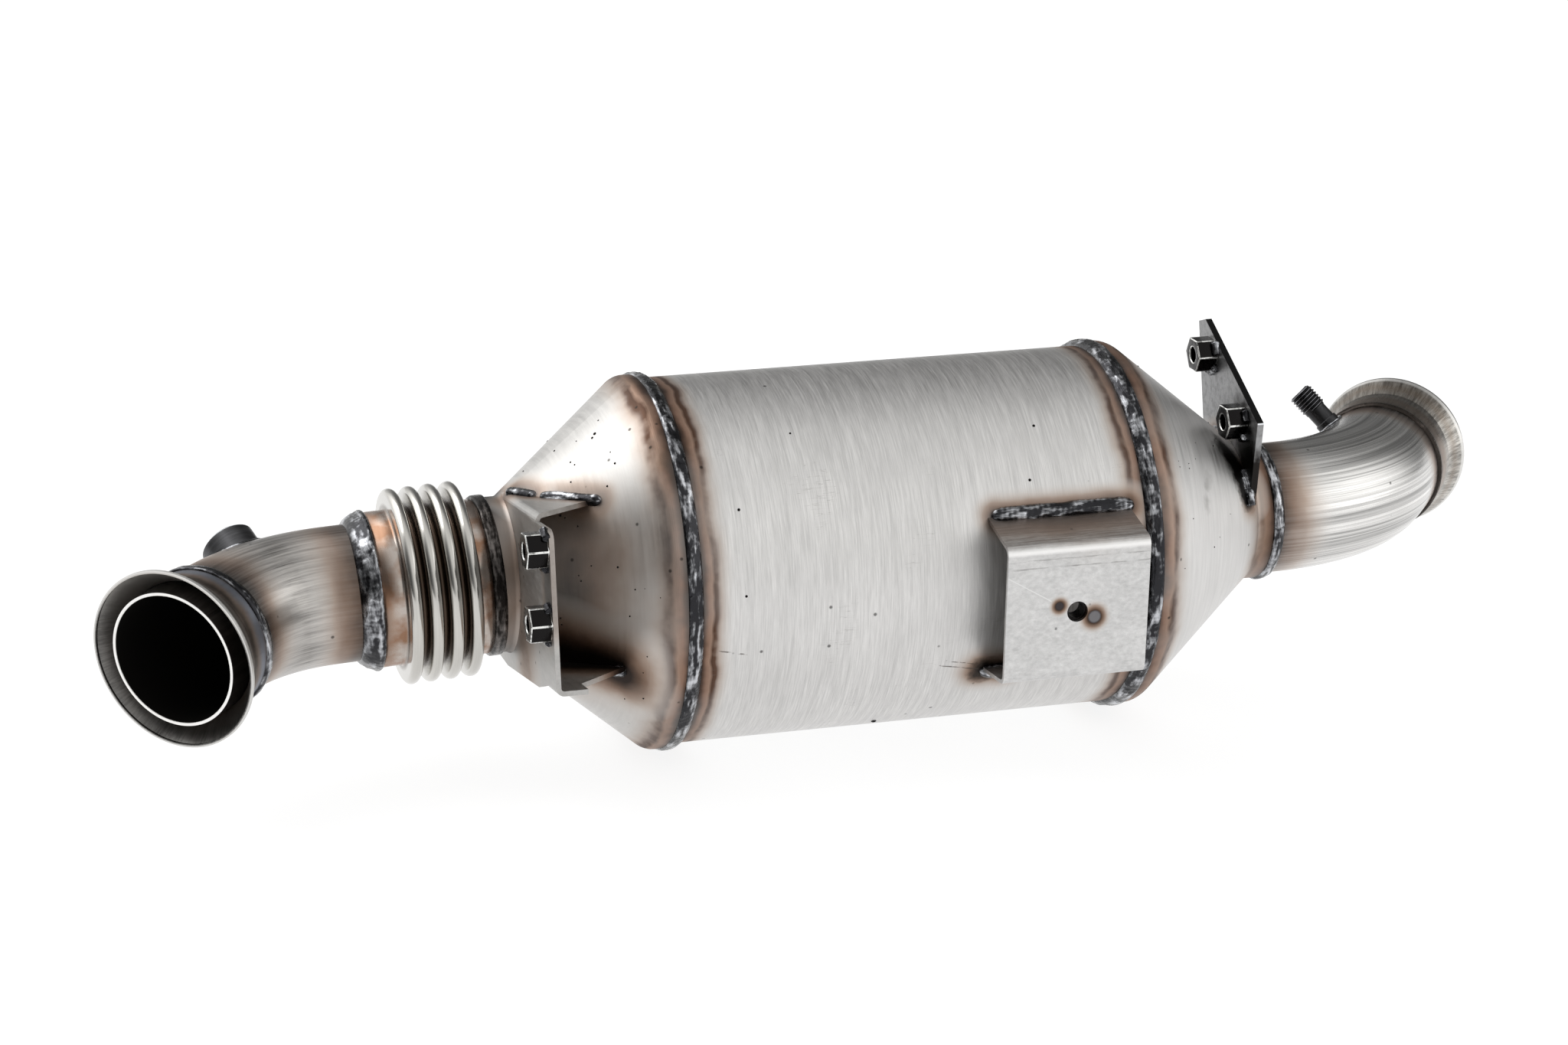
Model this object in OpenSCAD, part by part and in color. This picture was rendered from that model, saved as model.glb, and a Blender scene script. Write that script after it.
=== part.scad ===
// Diesel particulate filter for an exhaust line: a canister with a ceramic wall-flow brick,
// two pressed cones, a bellows and a bent pipe on the inlet side, an elbow on the outlet side,
// flared clamp collars on both open ends, and three sheet brackets with weld nuts.
// X runs along the canister from inlet to outlet, Z is up, and the brackets face -Y.
// The origin is the centre of the inlet pipe's open end. Lengths are in millimetres.

/* [Canister] */
// Outside diameter of the canister shell
can_d = 190; // [176:1:220]
// Wall of the canister shell
can_wall = 1.5; // [1:0.1:2.5]
// Distance between the two seam welds
seam_span = 243; // [220:1:320]
// Length of shell that slips into the lip of each cone
shell_lap = 8; // [4:0.5:9]
// Clearance between tubes that slip into one another
slip = 0.1; // [0.05:0.05:0.3]

/* [Filter] */
// Thickness of the support mat between the shell and the brick
mat_t = 4.6; // [3:0.1:7]
// Distance from each seam weld to the end of the brick
brick_inset = 20; // [10:1:40]
// Length of brick left bare at each end of the mat
brick_bare = 12; // [4:1:30]
// Chamfer on the ends of the brick
brick_chamfer = 2; // [0.5:0.5:4]

/* [Cones] */
// Sheet thickness of both cones
cone_wall = 2; // [1:0.1:2.5]
// Length of the straight lip that slips over the shell
lip_len = 10; // [10:0.5:16]
// Bend radius between the lip and the taper
lip_bend_r = 8; // [4:0.5:12]
// Bend radius between the taper and the neck
neck_bend_r = 4; // [2:0.5:6]
// Axial length of the inlet taper
inlet_taper = 68; // [60:1:90]
// Outside diameter of the inlet neck
inlet_neck_d = 80; // [79:0.5:84]
// Length of the inlet neck
inlet_neck_len = 9; // [7:0.5:14]
// Axial length of the outlet taper
outlet_taper = 72; // [64:1:90]
// Length of the outlet neck
outlet_neck_len = 12; // [10:0.5:20]

/* [Bellows] */
// Number of convolutions
conv_count = 4; // [2:1:7]
// Spacing of the convolutions
conv_pitch = 10.2; // [8.5:0.1:14]
// Width of one convolution
conv_w = 6.4; // [5:0.1:7]
// Diameter over the crests
crest_d = 100.5; // [94:0.5:110]
// Outside diameter of the end cuffs
cuff_d = 79.6; // [78:0.2:79.8]
// Sheet thickness of the bellows
bellows_wall = 0.8; // [0.5:0.1:1.2]
// Length of the cuff at the inlet cone
neck_cuff_len = 8.4; // [6:0.2:14]
// Length of the cuff at the inlet pipe
pipe_cuff_len = 13.3; // [11:0.1:20]
// Angle by which the bellows hangs below the canister axis
bellows_tilt = 2.6; // [0:0.1:5]

/* [Pipes] */
// Outside diameter of both pipes
pipe_d = 70; // [64:0.5:72]
// Wall of both pipes
pipe_wall = 1.5; // [1:0.1:2.5]
// Length of each pipe inside the piece it is welded to
spigot = 9; // [5:0.5:10]
// Straight length of the inlet pipe before its bend
inlet_lead = 18; // [14:1:40]
// Centreline bend radius of the inlet pipe
inlet_bend_r = 84; // [75:1:120]
// Bend angle of the inlet pipe
inlet_bend = 47.5; // [35:0.5:60]
// Roll of the inlet bend below the horizontal
inlet_roll = 4.4; // [-10:0.2:10]
// Straight length of the inlet pipe after its bend
inlet_tail = 37; // [37:1:60]
// Straight length of the outlet pipe before its bend
outlet_lead = 6; // [6:1:40]
// Centreline bend radius of the outlet pipe
outlet_bend_r = 100; // [85:1:130]
// Bend angle of the outlet pipe
outlet_bend = 53; // [40:0.5:90]
// Straight length of the outlet pipe after its bend
outlet_tail = 58; // [58:1:80]

/* [Flared collars] */
// Sheet thickness of both collars
collar_wall = 1.5; // [1:0.1:2]
// Diameter of the inlet rim
inlet_rim_d = 93; // [86:0.5:100]
// Diameter of the outlet rim
outlet_rim_d = 84; // [82:0.5:96]
// Whole length of the inlet collar
inlet_collar_len = 31; // [26:0.5:31]
// Whole length of the outlet collar
outlet_collar_len = 37; // [28:0.5:37]
// Length of the flared part of both collars
flare_len = 16; // [10:0.5:20]
// Straight lip at each rim
rim_lip = 1.6; // [1:0.1:3]

/* [Welds] */
// Width of the seam beads
seam_bead_w = 9; // [6:0.5:10]
// Height of the bead crowns
bead_h = 2.2; // [1.2:0.1:3]
// Width of the beads at the necks
neck_bead_w = 7; // [6:0.5:9]
// Width of the bead between the bellows and the inlet pipe
cuff_bead_w = 11; // [8:0.5:12]
// Width of the inlet collar bead
inlet_collar_bead_w = 7; // [5:0.5:8]
// Width of the outlet collar bead
outlet_collar_bead_w = 3; // [2:0.5:4]
// Radius of the beads along the brackets
fillet_r = 3.4; // [2.4:0.1:4.5]

/* [Weld nuts] */
// Width across flats of the weld nuts
nut_af = 17; // [15:0.5:18]
// Height of the weld nuts on the end brackets
nut_h = 11; // [8:0.5:12]
// Tapped hole of the weld nuts
nut_bore_d = 8.5; // [6.8:0.1:10.5]
// Clearance hole in the sheet under each nut
bolt_hole_d = 11; // [10.5:0.1:13]

/* [Inlet bracket] */
// Sheet thickness of the inlet bracket
in_bracket_t = 2.5; // [2:0.1:3]
// Outer bend radius of the inlet bracket
in_bracket_bend_r = 4; // [3.5:0.1:5]
// Distance from the inlet seam to the bracket's outer face
in_bracket_x = 77; // [70:0.5:80]
// Height over both folded edges
in_bracket_h = 86; // [80:1:100]
// Distance from the canister axis to the bracket's free edge
in_bracket_reach = 114.5; // [110:0.5:130]
// Turn of the bracket about the canister axis, free edge upwards
in_bracket_turn = 8; // [-15:0.5:15]
// Distance from the free edge to the nuts
in_nut_edge = 9; // [8.5:0.5:20]
// Spacing of the two nuts
in_nut_spacing = 36.5; // [24:0.5:50]
// Height of the nuts' middle above the bracket's middle
in_nut_rise = 10.5; // [0:0.5:12]
// Length of web that stands free of the top fold
in_top_free = 28; // [22:1:40]
// Rounding of the free corner
in_corner_r = 6; // [2:0.5:10]
// Width of the bottom fold that keeps its full reach
in_bottom_tab = 16; // [8:0.5:24]
// Step from that tab to the slanted edge
in_bottom_step = 15; // [6:0.5:25]
// Reach of the web below the bottom fold, under the neck
in_foot_drop = 5; // [1:0.5:8]
// Reach of the web behind the canister axis, under the neck
in_foot_back = 20; // [10:1:30]

/* [Side bracket] */
// Sheet thickness of the side bracket
side_t = 2; // [1.5:0.1:3]
// Outer bend radius of the side bracket
side_bend_r = 5; // [4:0.5:8]
// Length of the side bracket along the canister
side_len = 76; // [50:1:90]
// Distance from the outlet seam to the near end of the side bracket
side_gap = 12.5; // [8:0.5:40]
// Height of the flat face
side_h = 73; // [50:1:90]
// Distance from the shell to the flat face
side_standoff = 23.3; // [16:0.1:40]
// Slope of the folded edges away from the face
side_splay = 9; // [0:0.5:20]
// Turn of the bracket about the canister axis, face downwards
side_turn = 3.9; // [-20:0.1:20]
// Height of the nut behind the face
side_nut_h = 8; // [6:0.5:12]

/* [Outlet bracket] */
// Thickness of the outlet bracket plate
plate_t = 3.5; // [2:0.1:4]
// Distance from the outlet seam to the plate
plate_x = 75.3; // [70:0.5:78]
// Height of the plate's top corner above the axis
plate_top = 99.5; // [90:0.5:120]
// Height of the plate's front corner above the axis
plate_shoulder = 61; // [58:0.5:70]
// Distance from the axis to the plate's front corner
plate_front = 45.5; // [40:0.5:60]
// Distance from the axis to the plate's back corner
plate_back = 39; // [34:0.5:50]
// Distance of the plate's back edge from the axis at the level of the cone
plate_foot = 25; // [18:0.5:30]
// Sideways place of the upper nut
plate_nut_y = 20; // [16:0.5:24]
// Height of the upper nut
plate_nut_z = 83; // [80:0.5:88]
// Spacing of the two nuts
plate_nut_spacing = 51; // [46:0.5:54]
// Slope of the line through both nuts
plate_nut_slope = 30.5; // [26:0.5:34]

/* [Sensor boss] */
// Diameter of the sensor boss
boss_d = 28.6; // [24:0.2:32]
// Height of the sensor boss above the pipe
boss_h = 12; // [8:0.5:18]
// Tapped hole of the sensor boss
boss_bore_d = 16.5; // [10:0.1:18]
// Place of the boss along the inlet bend
boss_along = 21; // [16:1:26]
// Lean of the boss away from vertical, to the outside of the bend
boss_lean = 62; // [0:1:90]
// Chamfer of the boss
boss_chamfer = 1.2; // [0.4:0.1:2]

/* [Pressure stub] */
// Thread diameter of the stub
stub_thread_d = 14; // [10:0.5:16]
// Thread length of the stub
stub_thread_len = 13.5; // [8:0.5:16]
// Diameter of the plain neck under the thread
stub_neck_d = 11.5; // [8:0.5:13]
// Length of the plain neck
stub_neck_len = 7.5; // [4:0.5:10]
// Diameter of the foot
stub_foot_d = 13.2; // [11:0.2:14]
// Height of the foot
stub_foot_len = 4; // [2:0.5:6]
// Bore of the stub
stub_bore_d = 6; // [3:0.5:7]
// Distance from the outlet rim to the stub
stub_setback = 48; // [48:0.5:54]
// Rise of the stub above the inside of the elbow
stub_rise = 44; // [0:1:90]
// Chamfer at the tip of the stub
stub_chamfer = 0.6; // [0.4:0.1:1.5]

/* [Hidden] */
$fn = 96;
pipe_fn = 96;
bend_fn = 288;
fine_fn = 360;
can_r = can_d / 2;
can_in_r = can_r - can_wall;
brick_r = can_in_r - mat_t;
lip_r = can_r + slip + cone_wall;
inlet_neck_r = inlet_neck_d / 2;
inlet_neck_end = lip_len + inlet_taper + inlet_neck_len;
pipe_r = pipe_d / 2;
pipe_in_r = pipe_r - pipe_wall;
outlet_neck_r = pipe_r + slip + cone_wall;
outlet_neck_end = lip_len + outlet_taper + outlet_neck_len;
cuff_r = cuff_d / 2;
crest_r = crest_d / 2;
bellows_len = neck_cuff_len + conv_count * conv_pitch + pipe_cuff_len;
collar_r = pipe_r + slip + collar_wall;
nut_r = nut_af / 2 / cos(30);
boss_r = boss_d / 2;
boss_root = pipe_r * 0.7;
stub_root = pipe_r * 0.8;
side_face = can_r + side_standoff;
side_x0 = seam_span - side_gap - side_len;
in_half = in_bracket_h / 2;
in_web_x = -in_bracket_x;
in_edge = in_bracket_reach - in_top_free;
// Share of a full round used at the crests and valleys of the bellows
bend_share = 0.98;
// Width of the line between a bend and the straight length after it
hairline = 0.002;
// The same gap as a bend angle, at the inside of the inlet bend
hairline_angle = hairline / (inlet_bend_r - pipe_d / 2) * 180 / PI;
// Half the bend angle of the pipe's length under the boss
seat_half = 9;
// Reach of cutting shapes past what they cut
over = 1;

// Place of the inlet pipe's open end, seen from the inlet seam
run_x = inlet_bend_r * (1 - cos(inlet_bend)) + inlet_tail * sin(inlet_bend);
run_z = bellows_len + inlet_lead + inlet_bend_r * sin(inlet_bend) + inlet_tail * cos(inlet_bend);
drop = run_x * sin(inlet_roll);
inlet_end = [
    -inlet_neck_end - run_z * cos(bellows_tilt) + drop * sin(bellows_tilt),
    -run_x * cos(inlet_roll),
    -run_z * sin(bellows_tilt) - drop * cos(bellows_tilt)
];

// Colours of the finishes
steel = "#a9a6a1";
bright_steel = "#c9c8c4";
dark_steel = "#4a4744";
weld_grey = "#3a3b40";
ceramic_grey = "#b9b4a8";
mat_white = "#ddd8cc";

// Paths and sheet-metal strips

function unit(v) = v / norm(v);
function left_of(v) = [-v.y, v.x];
function cross2(a, b) = a.x * b.y - a.y * b.x;
function reversed(list) = [for (i = [len(list) - 1 : -1 : 0]) list[i]];

// Points of the arc of radius r that rounds the corner at b between a and c
function corner(a, b, c, r, steps = 6) =
    let (u = unit(a - b), v = unit(c - b), half = acos(u * v) / 2)
    let (centre = b + unit(u + v) * r / sin(half))
    let (from = b + u * r / tan(half) - centre, to = b + v * r / tan(half) - centre)
    let (start = atan2(from.y, from.x), turn = atan2(cross2(from, to), from * to))
    [for (i = [0 : steps]) centre + r * [cos(start + turn * i / steps), sin(start + turn * i / steps)]];

// A path with its inner corners rounded by the given radii
function rounded(path, radii) = concat(
    [path[0]],
    [for (i = [1 : len(path) - 2]) each corner(path[i - 1], path[i], path[i + 1], radii[i])],
    [path[len(path) - 1]]
);

// The same path moved to its left by t
function moved_left(path, t) = [
    for (i = [0 : len(path) - 1])
        let (before = unit(path[max(i, 1)] - path[max(i, 1) - 1]))
        let (last = len(path) - 2, after = unit(path[min(i, last) + 1] - path[min(i, last)]))
        let (a = left_of(before), b = left_of(after))
        path[i] + (a + b) * t / (1 + a * b)
];

// Bend radii of the moved path: smaller inside a left turn, larger inside a right turn
function moved_radii(path, radii, t) = [
    for (i = [0 : len(path) - 1])
        i == 0 || i == len(path) - 1 ? 0
        : radii[i] - t * sign(cross2(path[i] - path[i - 1], path[i + 1] - path[i]))
];

// Outline of a sheet of thickness t whose outer face follows the path
function strip(path, radii, t) = concat(
    rounded(path, radii),
    reversed(rounded(moved_left(path, t), moved_radii(path, radii, t)))
);

// Frames

// Everything is drawn from the inlet seam and then moved to the inlet pipe's open end
module in_place() {
    translate(-inlet_end) children();
}

// Along +Z from the inlet seam towards the inlet
module inlet_side() {
    rotate([0, -90, 0]) children();
}

// Along +Z from the outlet seam towards the outlet
module outlet_side() {
    translate([seam_span, 0, 0]) rotate([0, 90, 0]) children();
}

// Along +Z from the end of the inlet neck, with the bend towards +X and up along +Y
module inlet_run() {
    inlet_side() translate([0, 0, inlet_neck_end])
        rotate([0, -bellows_tilt, 0]) rotate([0, 0, -90 - inlet_roll]) children();
}

// Along +Z from the end of the outlet neck, with the bend towards +X and up along +Y
module outlet_run() {
    outlet_side() translate([0, 0, outlet_neck_end]) rotate([0, 0, 90]) children();
}

// The frame at an angle along a bend
module along_bend(lead, bend_r, angle) {
    translate([bend_r * (1 - cos(angle)), 0, lead + bend_r * sin(angle)])
        rotate([0, angle, 0]) children();
}

// At the open end of the inlet pipe, with +Z back into the pipe
module inlet_mouth() {
    inlet_run() along_bend(bellows_len + inlet_lead, inlet_bend_r, inlet_bend)
        translate([0, 0, inlet_tail]) rotate([180, 0, 0]) children();
}

// At the open end of the outlet pipe, with +Z back into the pipe
module outlet_mouth() {
    outlet_run() along_bend(outlet_lead, outlet_bend_r, outlet_bend)
        translate([0, 0, outlet_tail]) rotate([180, 0, 0]) children();
}

// On the inlet pipe's axis under the sensor boss, with +Z along the boss
module boss_frame() {
    inlet_run() along_bend(bellows_len + inlet_lead, inlet_bend_r, boss_along)
        rotate([0, 0, 90 + boss_lean]) rotate([0, 90, 0]) children();
}

// On the outlet pipe's axis under the pressure stub, with +Z along the stub
module stub_frame() {
    outlet_run() along_bend(outlet_lead, outlet_bend_r, outlet_bend)
        translate([0, 0, outlet_tail - stub_setback])
        rotate([0, 0, stub_rise]) rotate([0, 90, 0]) children();
}

// Shared shapes

// A bend towards +X of a rod, or of a tube when r_in is given
module bend_piece(bend_r, angle, r, r_in = 0) {
    translate([bend_r, 0, 0]) rotate([90, 0, 180])
        rotate_extrude(angle = angle, $fn = bend_fn) translate([bend_r, 0]) difference() {
            circle(r, $fn = pipe_fn);
            if (r_in > 0) circle(r_in, $fn = pipe_fn);
        }
}

module tube(r, r_in, h) {
    difference() {
        cylinder(r = r, h = h);
        translate([0, 0, -over]) cylinder(r = r_in, h = h + 2 * over);
    }
}

// Outer line of a cone, from its lip to the end of its neck
function cone_path(taper, neck_r, neck_len) = [
    [lip_r, 0], [lip_r, lip_len],
    [neck_r, lip_len + taper], [neck_r, lip_len + taper + neck_len]
];
cone_radii = [0, lip_bend_r, neck_bend_r, 0];
inlet_path = cone_path(inlet_taper, inlet_neck_r, inlet_neck_len);
outlet_path = cone_path(outlet_taper, outlet_neck_r, outlet_neck_len);

module cone_sheet(path) {
    rotate_extrude() polygon(strip(path, cone_radii, cone_wall));
}

module cone_filled(path) {
    axis = [[0, path[3].y], [0, 0]];
    rotate_extrude() polygon(concat(rounded(path, cone_radii), axis));
}

module can_filled() {
    rotate([0, 90, 0]) cylinder(r = can_r, h = seam_span, $fn = fine_fn);
}

// A bead over the step between a tube of radius r_low on the +Z side and one of radius r_high
module step_bead(r_low, r_high, w_low, w_high, h, steps = 10) {
    crown = [
        for (i = [0 : steps])
            let (t = i / steps)
            [r_low + (r_high - r_low) * t + h * sin(180 * t), w_low - (w_low + w_high) * t]
    ];
    rotate_extrude() polygon(concat([[r_low, 0]], crown, [[r_high, 0]]));
}

// A straight bead with tapered ends between two points
module bead(a, b, r) {
    d = b - a;
    length = norm(d);
    translate(a) rotate([0, acos(d.z / length), atan2(d.y, d.x)])
        rotate_extrude() polygon([
            [0, -r * 0.6], [r * 0.6, -r * 0.6], [r, 0], [r, length], [r * 0.6, length + r * 0.6],
            [0, length + r * 0.6]
        ]);
}

// A flared collar, from its rim back along +Z over the pipe
module flared_collar(rim_r, length) {
    path = [[rim_r, 0], [rim_r, rim_lip], [collar_r, flare_len], [collar_r, length]];
    rotate_extrude() polygon(strip(path, [0, collar_wall, 2 * collar_wall, 0], collar_wall));
}

// A bead around the foot of a boss that stands on a pipe, before it is trimmed to the pipe
module foot_bead(foot_r, w) {
    low = sqrt(pipe_r * pipe_r - pow(foot_r + 2 * w, 2)) - w;
    rotate_extrude() polygon([
        [foot_r, low], [foot_r + 2 * w, low], [foot_r + 2 * w, pipe_r - w], [foot_r, pipe_r + w]
    ]);
}

// A hexagonal weld nut along +Z, flat side up
module weld_nut(h) {
    difference() {
        rotate([0, 0, 30]) cylinder(r = nut_r, h = h, $fn = 6);
        translate([0, 0, -over]) cylinder(d = nut_bore_d, h = h + 2 * over);
    }
}

// Inlet side

module inlet_flange() {
    color(dark_steel) in_place() inlet_mouth() flared_collar(inlet_rim_d / 2, inlet_collar_len);
}

module inlet_flange_weld() {
    color(weld_grey) in_place() inlet_mouth() translate([0, 0, inlet_collar_len])
        step_bead(pipe_r, collar_r, inlet_collar_bead_w / 2, inlet_collar_bead_w / 2, bead_h);
}

module inlet_bend_piece(r, r_in = 0) {
    inlet_run() translate([0, 0, bellows_len + inlet_lead])
        bend_piece(inlet_bend_r, inlet_bend, r, r_in);
}

// A length of the inlet bend between two angles, a hairline short of the next length
module inlet_bend_length(from, to) {
    inlet_run() along_bend(bellows_len + inlet_lead, inlet_bend_r, from)
        bend_piece(inlet_bend_r, to - from - hairline_angle, pipe_r, pipe_in_r);
}

module inlet_pipe() {
    color(steel) in_place() {
        inlet_run() translate([0, 0, bellows_len - spigot])
            tube(pipe_r, pipe_in_r, spigot + inlet_lead);
        inlet_bend_length(0, boss_along - seat_half);
    }
}

// The length of the bend that carries the boss
module inlet_pipe_seat() {
    color(steel) in_place() difference() {
        inlet_bend_length(boss_along - seat_half, boss_along + seat_half);
        boss_frame() translate([0, 0, boss_root]) cylinder(d = boss_bore_d, h = pipe_r);
    }
}

module inlet_pipe_end() {
    color(steel) in_place() {
        inlet_bend_length(boss_along + seat_half, inlet_bend);
        inlet_mouth() tube(pipe_r, pipe_in_r, inlet_tail - hairline);
    }
}

module boss_blank() {
    top = pipe_r + boss_h;
    rotate_extrude() polygon([
        [boss_bore_d / 2, boss_root], [boss_r, boss_root], [boss_r, top - boss_chamfer],
        [boss_r - boss_chamfer, top], [boss_bore_d / 2, top]
    ]);
}

module sensor_boss() {
    color(dark_steel) in_place() difference() {
        boss_frame() boss_blank();
        inlet_bend_piece(pipe_r);
    }
}

module sensor_boss_weld() {
    color(weld_grey) in_place() difference() {
        boss_frame() foot_bead(boss_r, bead_h);
        inlet_bend_piece(pipe_r);
    }
}

module bellows_weld() {
    color(weld_grey) in_place() inlet_run() translate([0, 0, bellows_len])
        step_bead(pipe_r, cuff_r, cuff_bead_w * 0.65, cuff_bead_w * 0.35, bead_h + over);
}

// One convolution of the bellows as four corners of its outer line
function convolution(z) = [
    [cuff_r, z - conv_w / 2], [crest_r, z - conv_w / 2],
    [crest_r, z + conv_w / 2], [cuff_r, z + conv_w / 2]
];

module bellows() {
    crest = conv_w / 2 * bend_share;
    valley = (conv_pitch - conv_w) / 2 * bend_share;
    turns = [0 : conv_count - 1];
    path = concat(
        [[cuff_r, 0]],
        [for (i = turns) each convolution(neck_cuff_len + (i + 0.5) * conv_pitch)],
        [[cuff_r, bellows_len]]
    );
    radii = concat([0], [for (i = turns) each [valley, crest, crest, valley]], [0]);
    color(bright_steel) in_place() inlet_run()
        rotate_extrude() polygon(strip(path, radii, bellows_wall));
}

// The half space past the tilted end of the inlet neck
module past_inlet_neck() {
    inlet_run() translate([-can_r, -can_r, 0]) cube([can_d, can_d, can_r]);
}

module inlet_neck_weld() {
    color(weld_grey) in_place() difference() {
        inlet_run() rotate([180, 0, 0]) rotate_extrude() translate([cuff_r, 0])
            polygon([
                for (i = [0 : 12])
                    let (t = 180 * i / 12)
                    [(bead_h + inlet_neck_r - cuff_r) * sin(t), neck_bead_w / 2 * cos(t)]
            ]);
        inlet_side() cylinder(r = inlet_neck_r, h = inlet_neck_end + neck_bead_w);
        inlet_side() cone_filled(inlet_path);
    }
}

module inlet_cone() {
    color(steel) in_place() difference() {
        inlet_side() cone_sheet(inlet_path);
        past_inlet_neck();
    }
}

// The sheet of the inlet bracket before it is trimmed, folded about the web
module inlet_bracket_blank() {
    path = [[0, in_half], [in_web_x, in_half], [in_web_x, -in_half], [0, -in_half]];
    radii = [0, in_bracket_bend_r, in_bracket_bend_r, 0];
    rotate([90, 0, 0]) linear_extrude(in_bracket_reach)
        polygon(strip(path, radii, in_bracket_t));
}

// The part of the web that reaches under the neck, below the bottom fold
module inlet_web_foot() {
    translate([in_web_x, 0, -in_half]) rotate([90, 0, 90]) linear_extrude(in_bracket_t)
        polygon([
            [in_foot_back, -in_foot_drop / 2], [0, -in_foot_drop],
            [-0.65 * in_bracket_reach, -in_foot_drop / 2],
            [-0.9 * in_bracket_reach, in_bracket_bend_r], [in_foot_back, in_bracket_bend_r]
        ]);
}

// The part of the top fold that is cut away in front of its slanted edge
module inlet_top_trim() {
    edge = [[in_web_x - over, -in_edge], [0, -in_edge - in_web_x * 0.9]];
    front = -in_bracket_reach - over;
    translate([0, 0, in_half - in_bracket_bend_r])
        linear_extrude(in_bracket_bend_r + over)
        polygon([edge[0], edge[1], [0, front], [in_web_x - over, front]]);
}

// The part of the bottom fold that is cut away beside its tab
module inlet_bottom_trim() {
    tab = in_web_x + in_bottom_tab;
    step = -in_bracket_reach + in_bottom_step;
    front = -in_bracket_reach - over;
    translate([0, 0, -in_half - over]) linear_extrude(in_bracket_bend_r + over)
        polygon([[tab, step], [0, step - tab * 1.07], [0, front], [tab, front]]);
}

// What rounds the free corner of the web
module inlet_corner_trim() {
    translate([in_web_x - over, -in_bracket_reach, in_half - in_bracket_bend_r])
        rotate([90, 0, 90]) linear_extrude(in_bracket_t + 2 * over)
        difference() {
            translate([-over, -in_corner_r]) square([in_corner_r + over, in_corner_r + over]);
            translate([in_corner_r, -in_corner_r]) circle(in_corner_r);
        }
}

// The two nut places on the web, with +Z away from it
module at_inlet_nuts() {
    for (side = [-1, 1])
        translate([in_web_x, in_nut_edge - in_bracket_reach, in_nut_rise + side * in_nut_spacing / 2])
            rotate([0, -90, 0]) children();
}

module inlet_bracket() {
    color(steel) in_place() rotate([-in_bracket_turn, 0, 0]) difference() {
        union() {
            inlet_bracket_blank();
            inlet_web_foot();
        }
        inlet_top_trim();
        inlet_bottom_trim();
        inlet_corner_trim();
        at_inlet_nuts() translate([0, 0, -in_bracket_t - over])
            cylinder(d = bolt_hole_d, h = in_bracket_t + 2 * over);
        inlet_side() cone_filled(inlet_path);
    }
}

module inlet_bracket_nuts() {
    color(dark_steel) in_place() rotate([-in_bracket_turn, 0, 0]) at_inlet_nuts() weld_nut(nut_h);
}

// Radius of the inlet cone at a distance from the seam, on its straight taper
function inlet_cone_r(x) = lip_r + (inlet_neck_r - lip_r) * (x - lip_len) / inlet_taper;
// The point where a fold of the inlet bracket meets the cone, on its upper or lower face
function fold_point(x, side) =
    [-x, -sqrt(pow(inlet_cone_r(x), 2) - in_half * in_half), side * in_half];

module inlet_bracket_welds() {
    color(weld_grey) in_place() rotate([-in_bracket_turn, 0, 0]) difference() {
        union() {
            bead(fold_point(0.52 * in_bracket_x, 1), fold_point(0.78 * in_bracket_x, 1), fillet_r);
            bead(fold_point(0.86 * in_bracket_x, 1), fold_point(0.935 * in_bracket_x, 1), fillet_r);
            bead(fold_point(0.43 * in_bracket_x, -1), fold_point(0.53 * in_bracket_x, -1), fillet_r);
            bead(fold_point(0.73 * in_bracket_x, -1), fold_point(0.88 * in_bracket_x, -1), fillet_r);
        }
        translate([in_web_x, -in_bracket_reach, -in_half])
            cube([in_bracket_x, in_bracket_reach, in_bracket_h]);
        inlet_side() cone_filled(inlet_path);
    }
}

// Canister

module inlet_seam_weld() {
    color(weld_grey) in_place() inlet_side() rotate([180, 0, 0])
        step_bead(can_r, lip_r, seam_bead_w / 2, seam_bead_w / 2, bead_h);
}

module outlet_seam_weld() {
    color(weld_grey) in_place() outlet_side() rotate([180, 0, 0])
        step_bead(can_r, lip_r, seam_bead_w / 2, seam_bead_w / 2, bead_h);
}

module body_shell() {
    shell_len = seam_span + 2 * shell_lap;
    color(steel) in_place() translate([-shell_lap, 0, 0]) rotate([0, 90, 0]) difference() {
        cylinder(r = can_r, h = shell_len);
        translate([0, 0, -over]) cylinder(r = can_in_r, h = shell_len + 2 * over);
    }
}

module filter_brick() {
    length = seam_span - 2 * brick_inset;
    color(ceramic_grey) in_place() translate([brick_inset, 0, 0]) rotate([0, 90, 0])
        rotate_extrude() polygon([
            [0, 0], [brick_r - brick_chamfer, 0], [brick_r, brick_chamfer],
            [brick_r, length - brick_chamfer], [brick_r - brick_chamfer, length], [0, length]
        ]);
}

module support_mat() {
    start = brick_inset + brick_bare;
    length = seam_span - 2 * start;
    color(mat_white) in_place() translate([start, 0, 0]) rotate([0, 90, 0]) difference() {
        cylinder(r = can_in_r, h = length);
        translate([0, 0, -over]) cylinder(r = brick_r, h = length + 2 * over);
    }
}

// Side bracket

// Outer line of the folded hat, with its face towards -Y
side_half = side_h / 2;
side_depth = side_face - can_r / 2;
side_rise = side_depth * tan(side_splay);
side_path = [
    [side_depth - side_face, side_half + side_rise], [-side_face, side_half],
    [-side_face, -side_half], [side_depth - side_face, -side_half - side_rise]
];
side_radii = [0, side_bend_r, side_bend_r, 0];

// Draws an outline in Y and Z along the length of the side bracket
module along_side() {
    translate([side_x0, 0, 0]) rotate([90, 0, 90]) linear_extrude(side_len) children();
}

// The hole in the middle of the face, with +Z away from the canister
module at_side_hole() {
    translate([side_x0 + side_len / 2, -side_face, 0]) rotate([90, 0, 0]) children();
}

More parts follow.
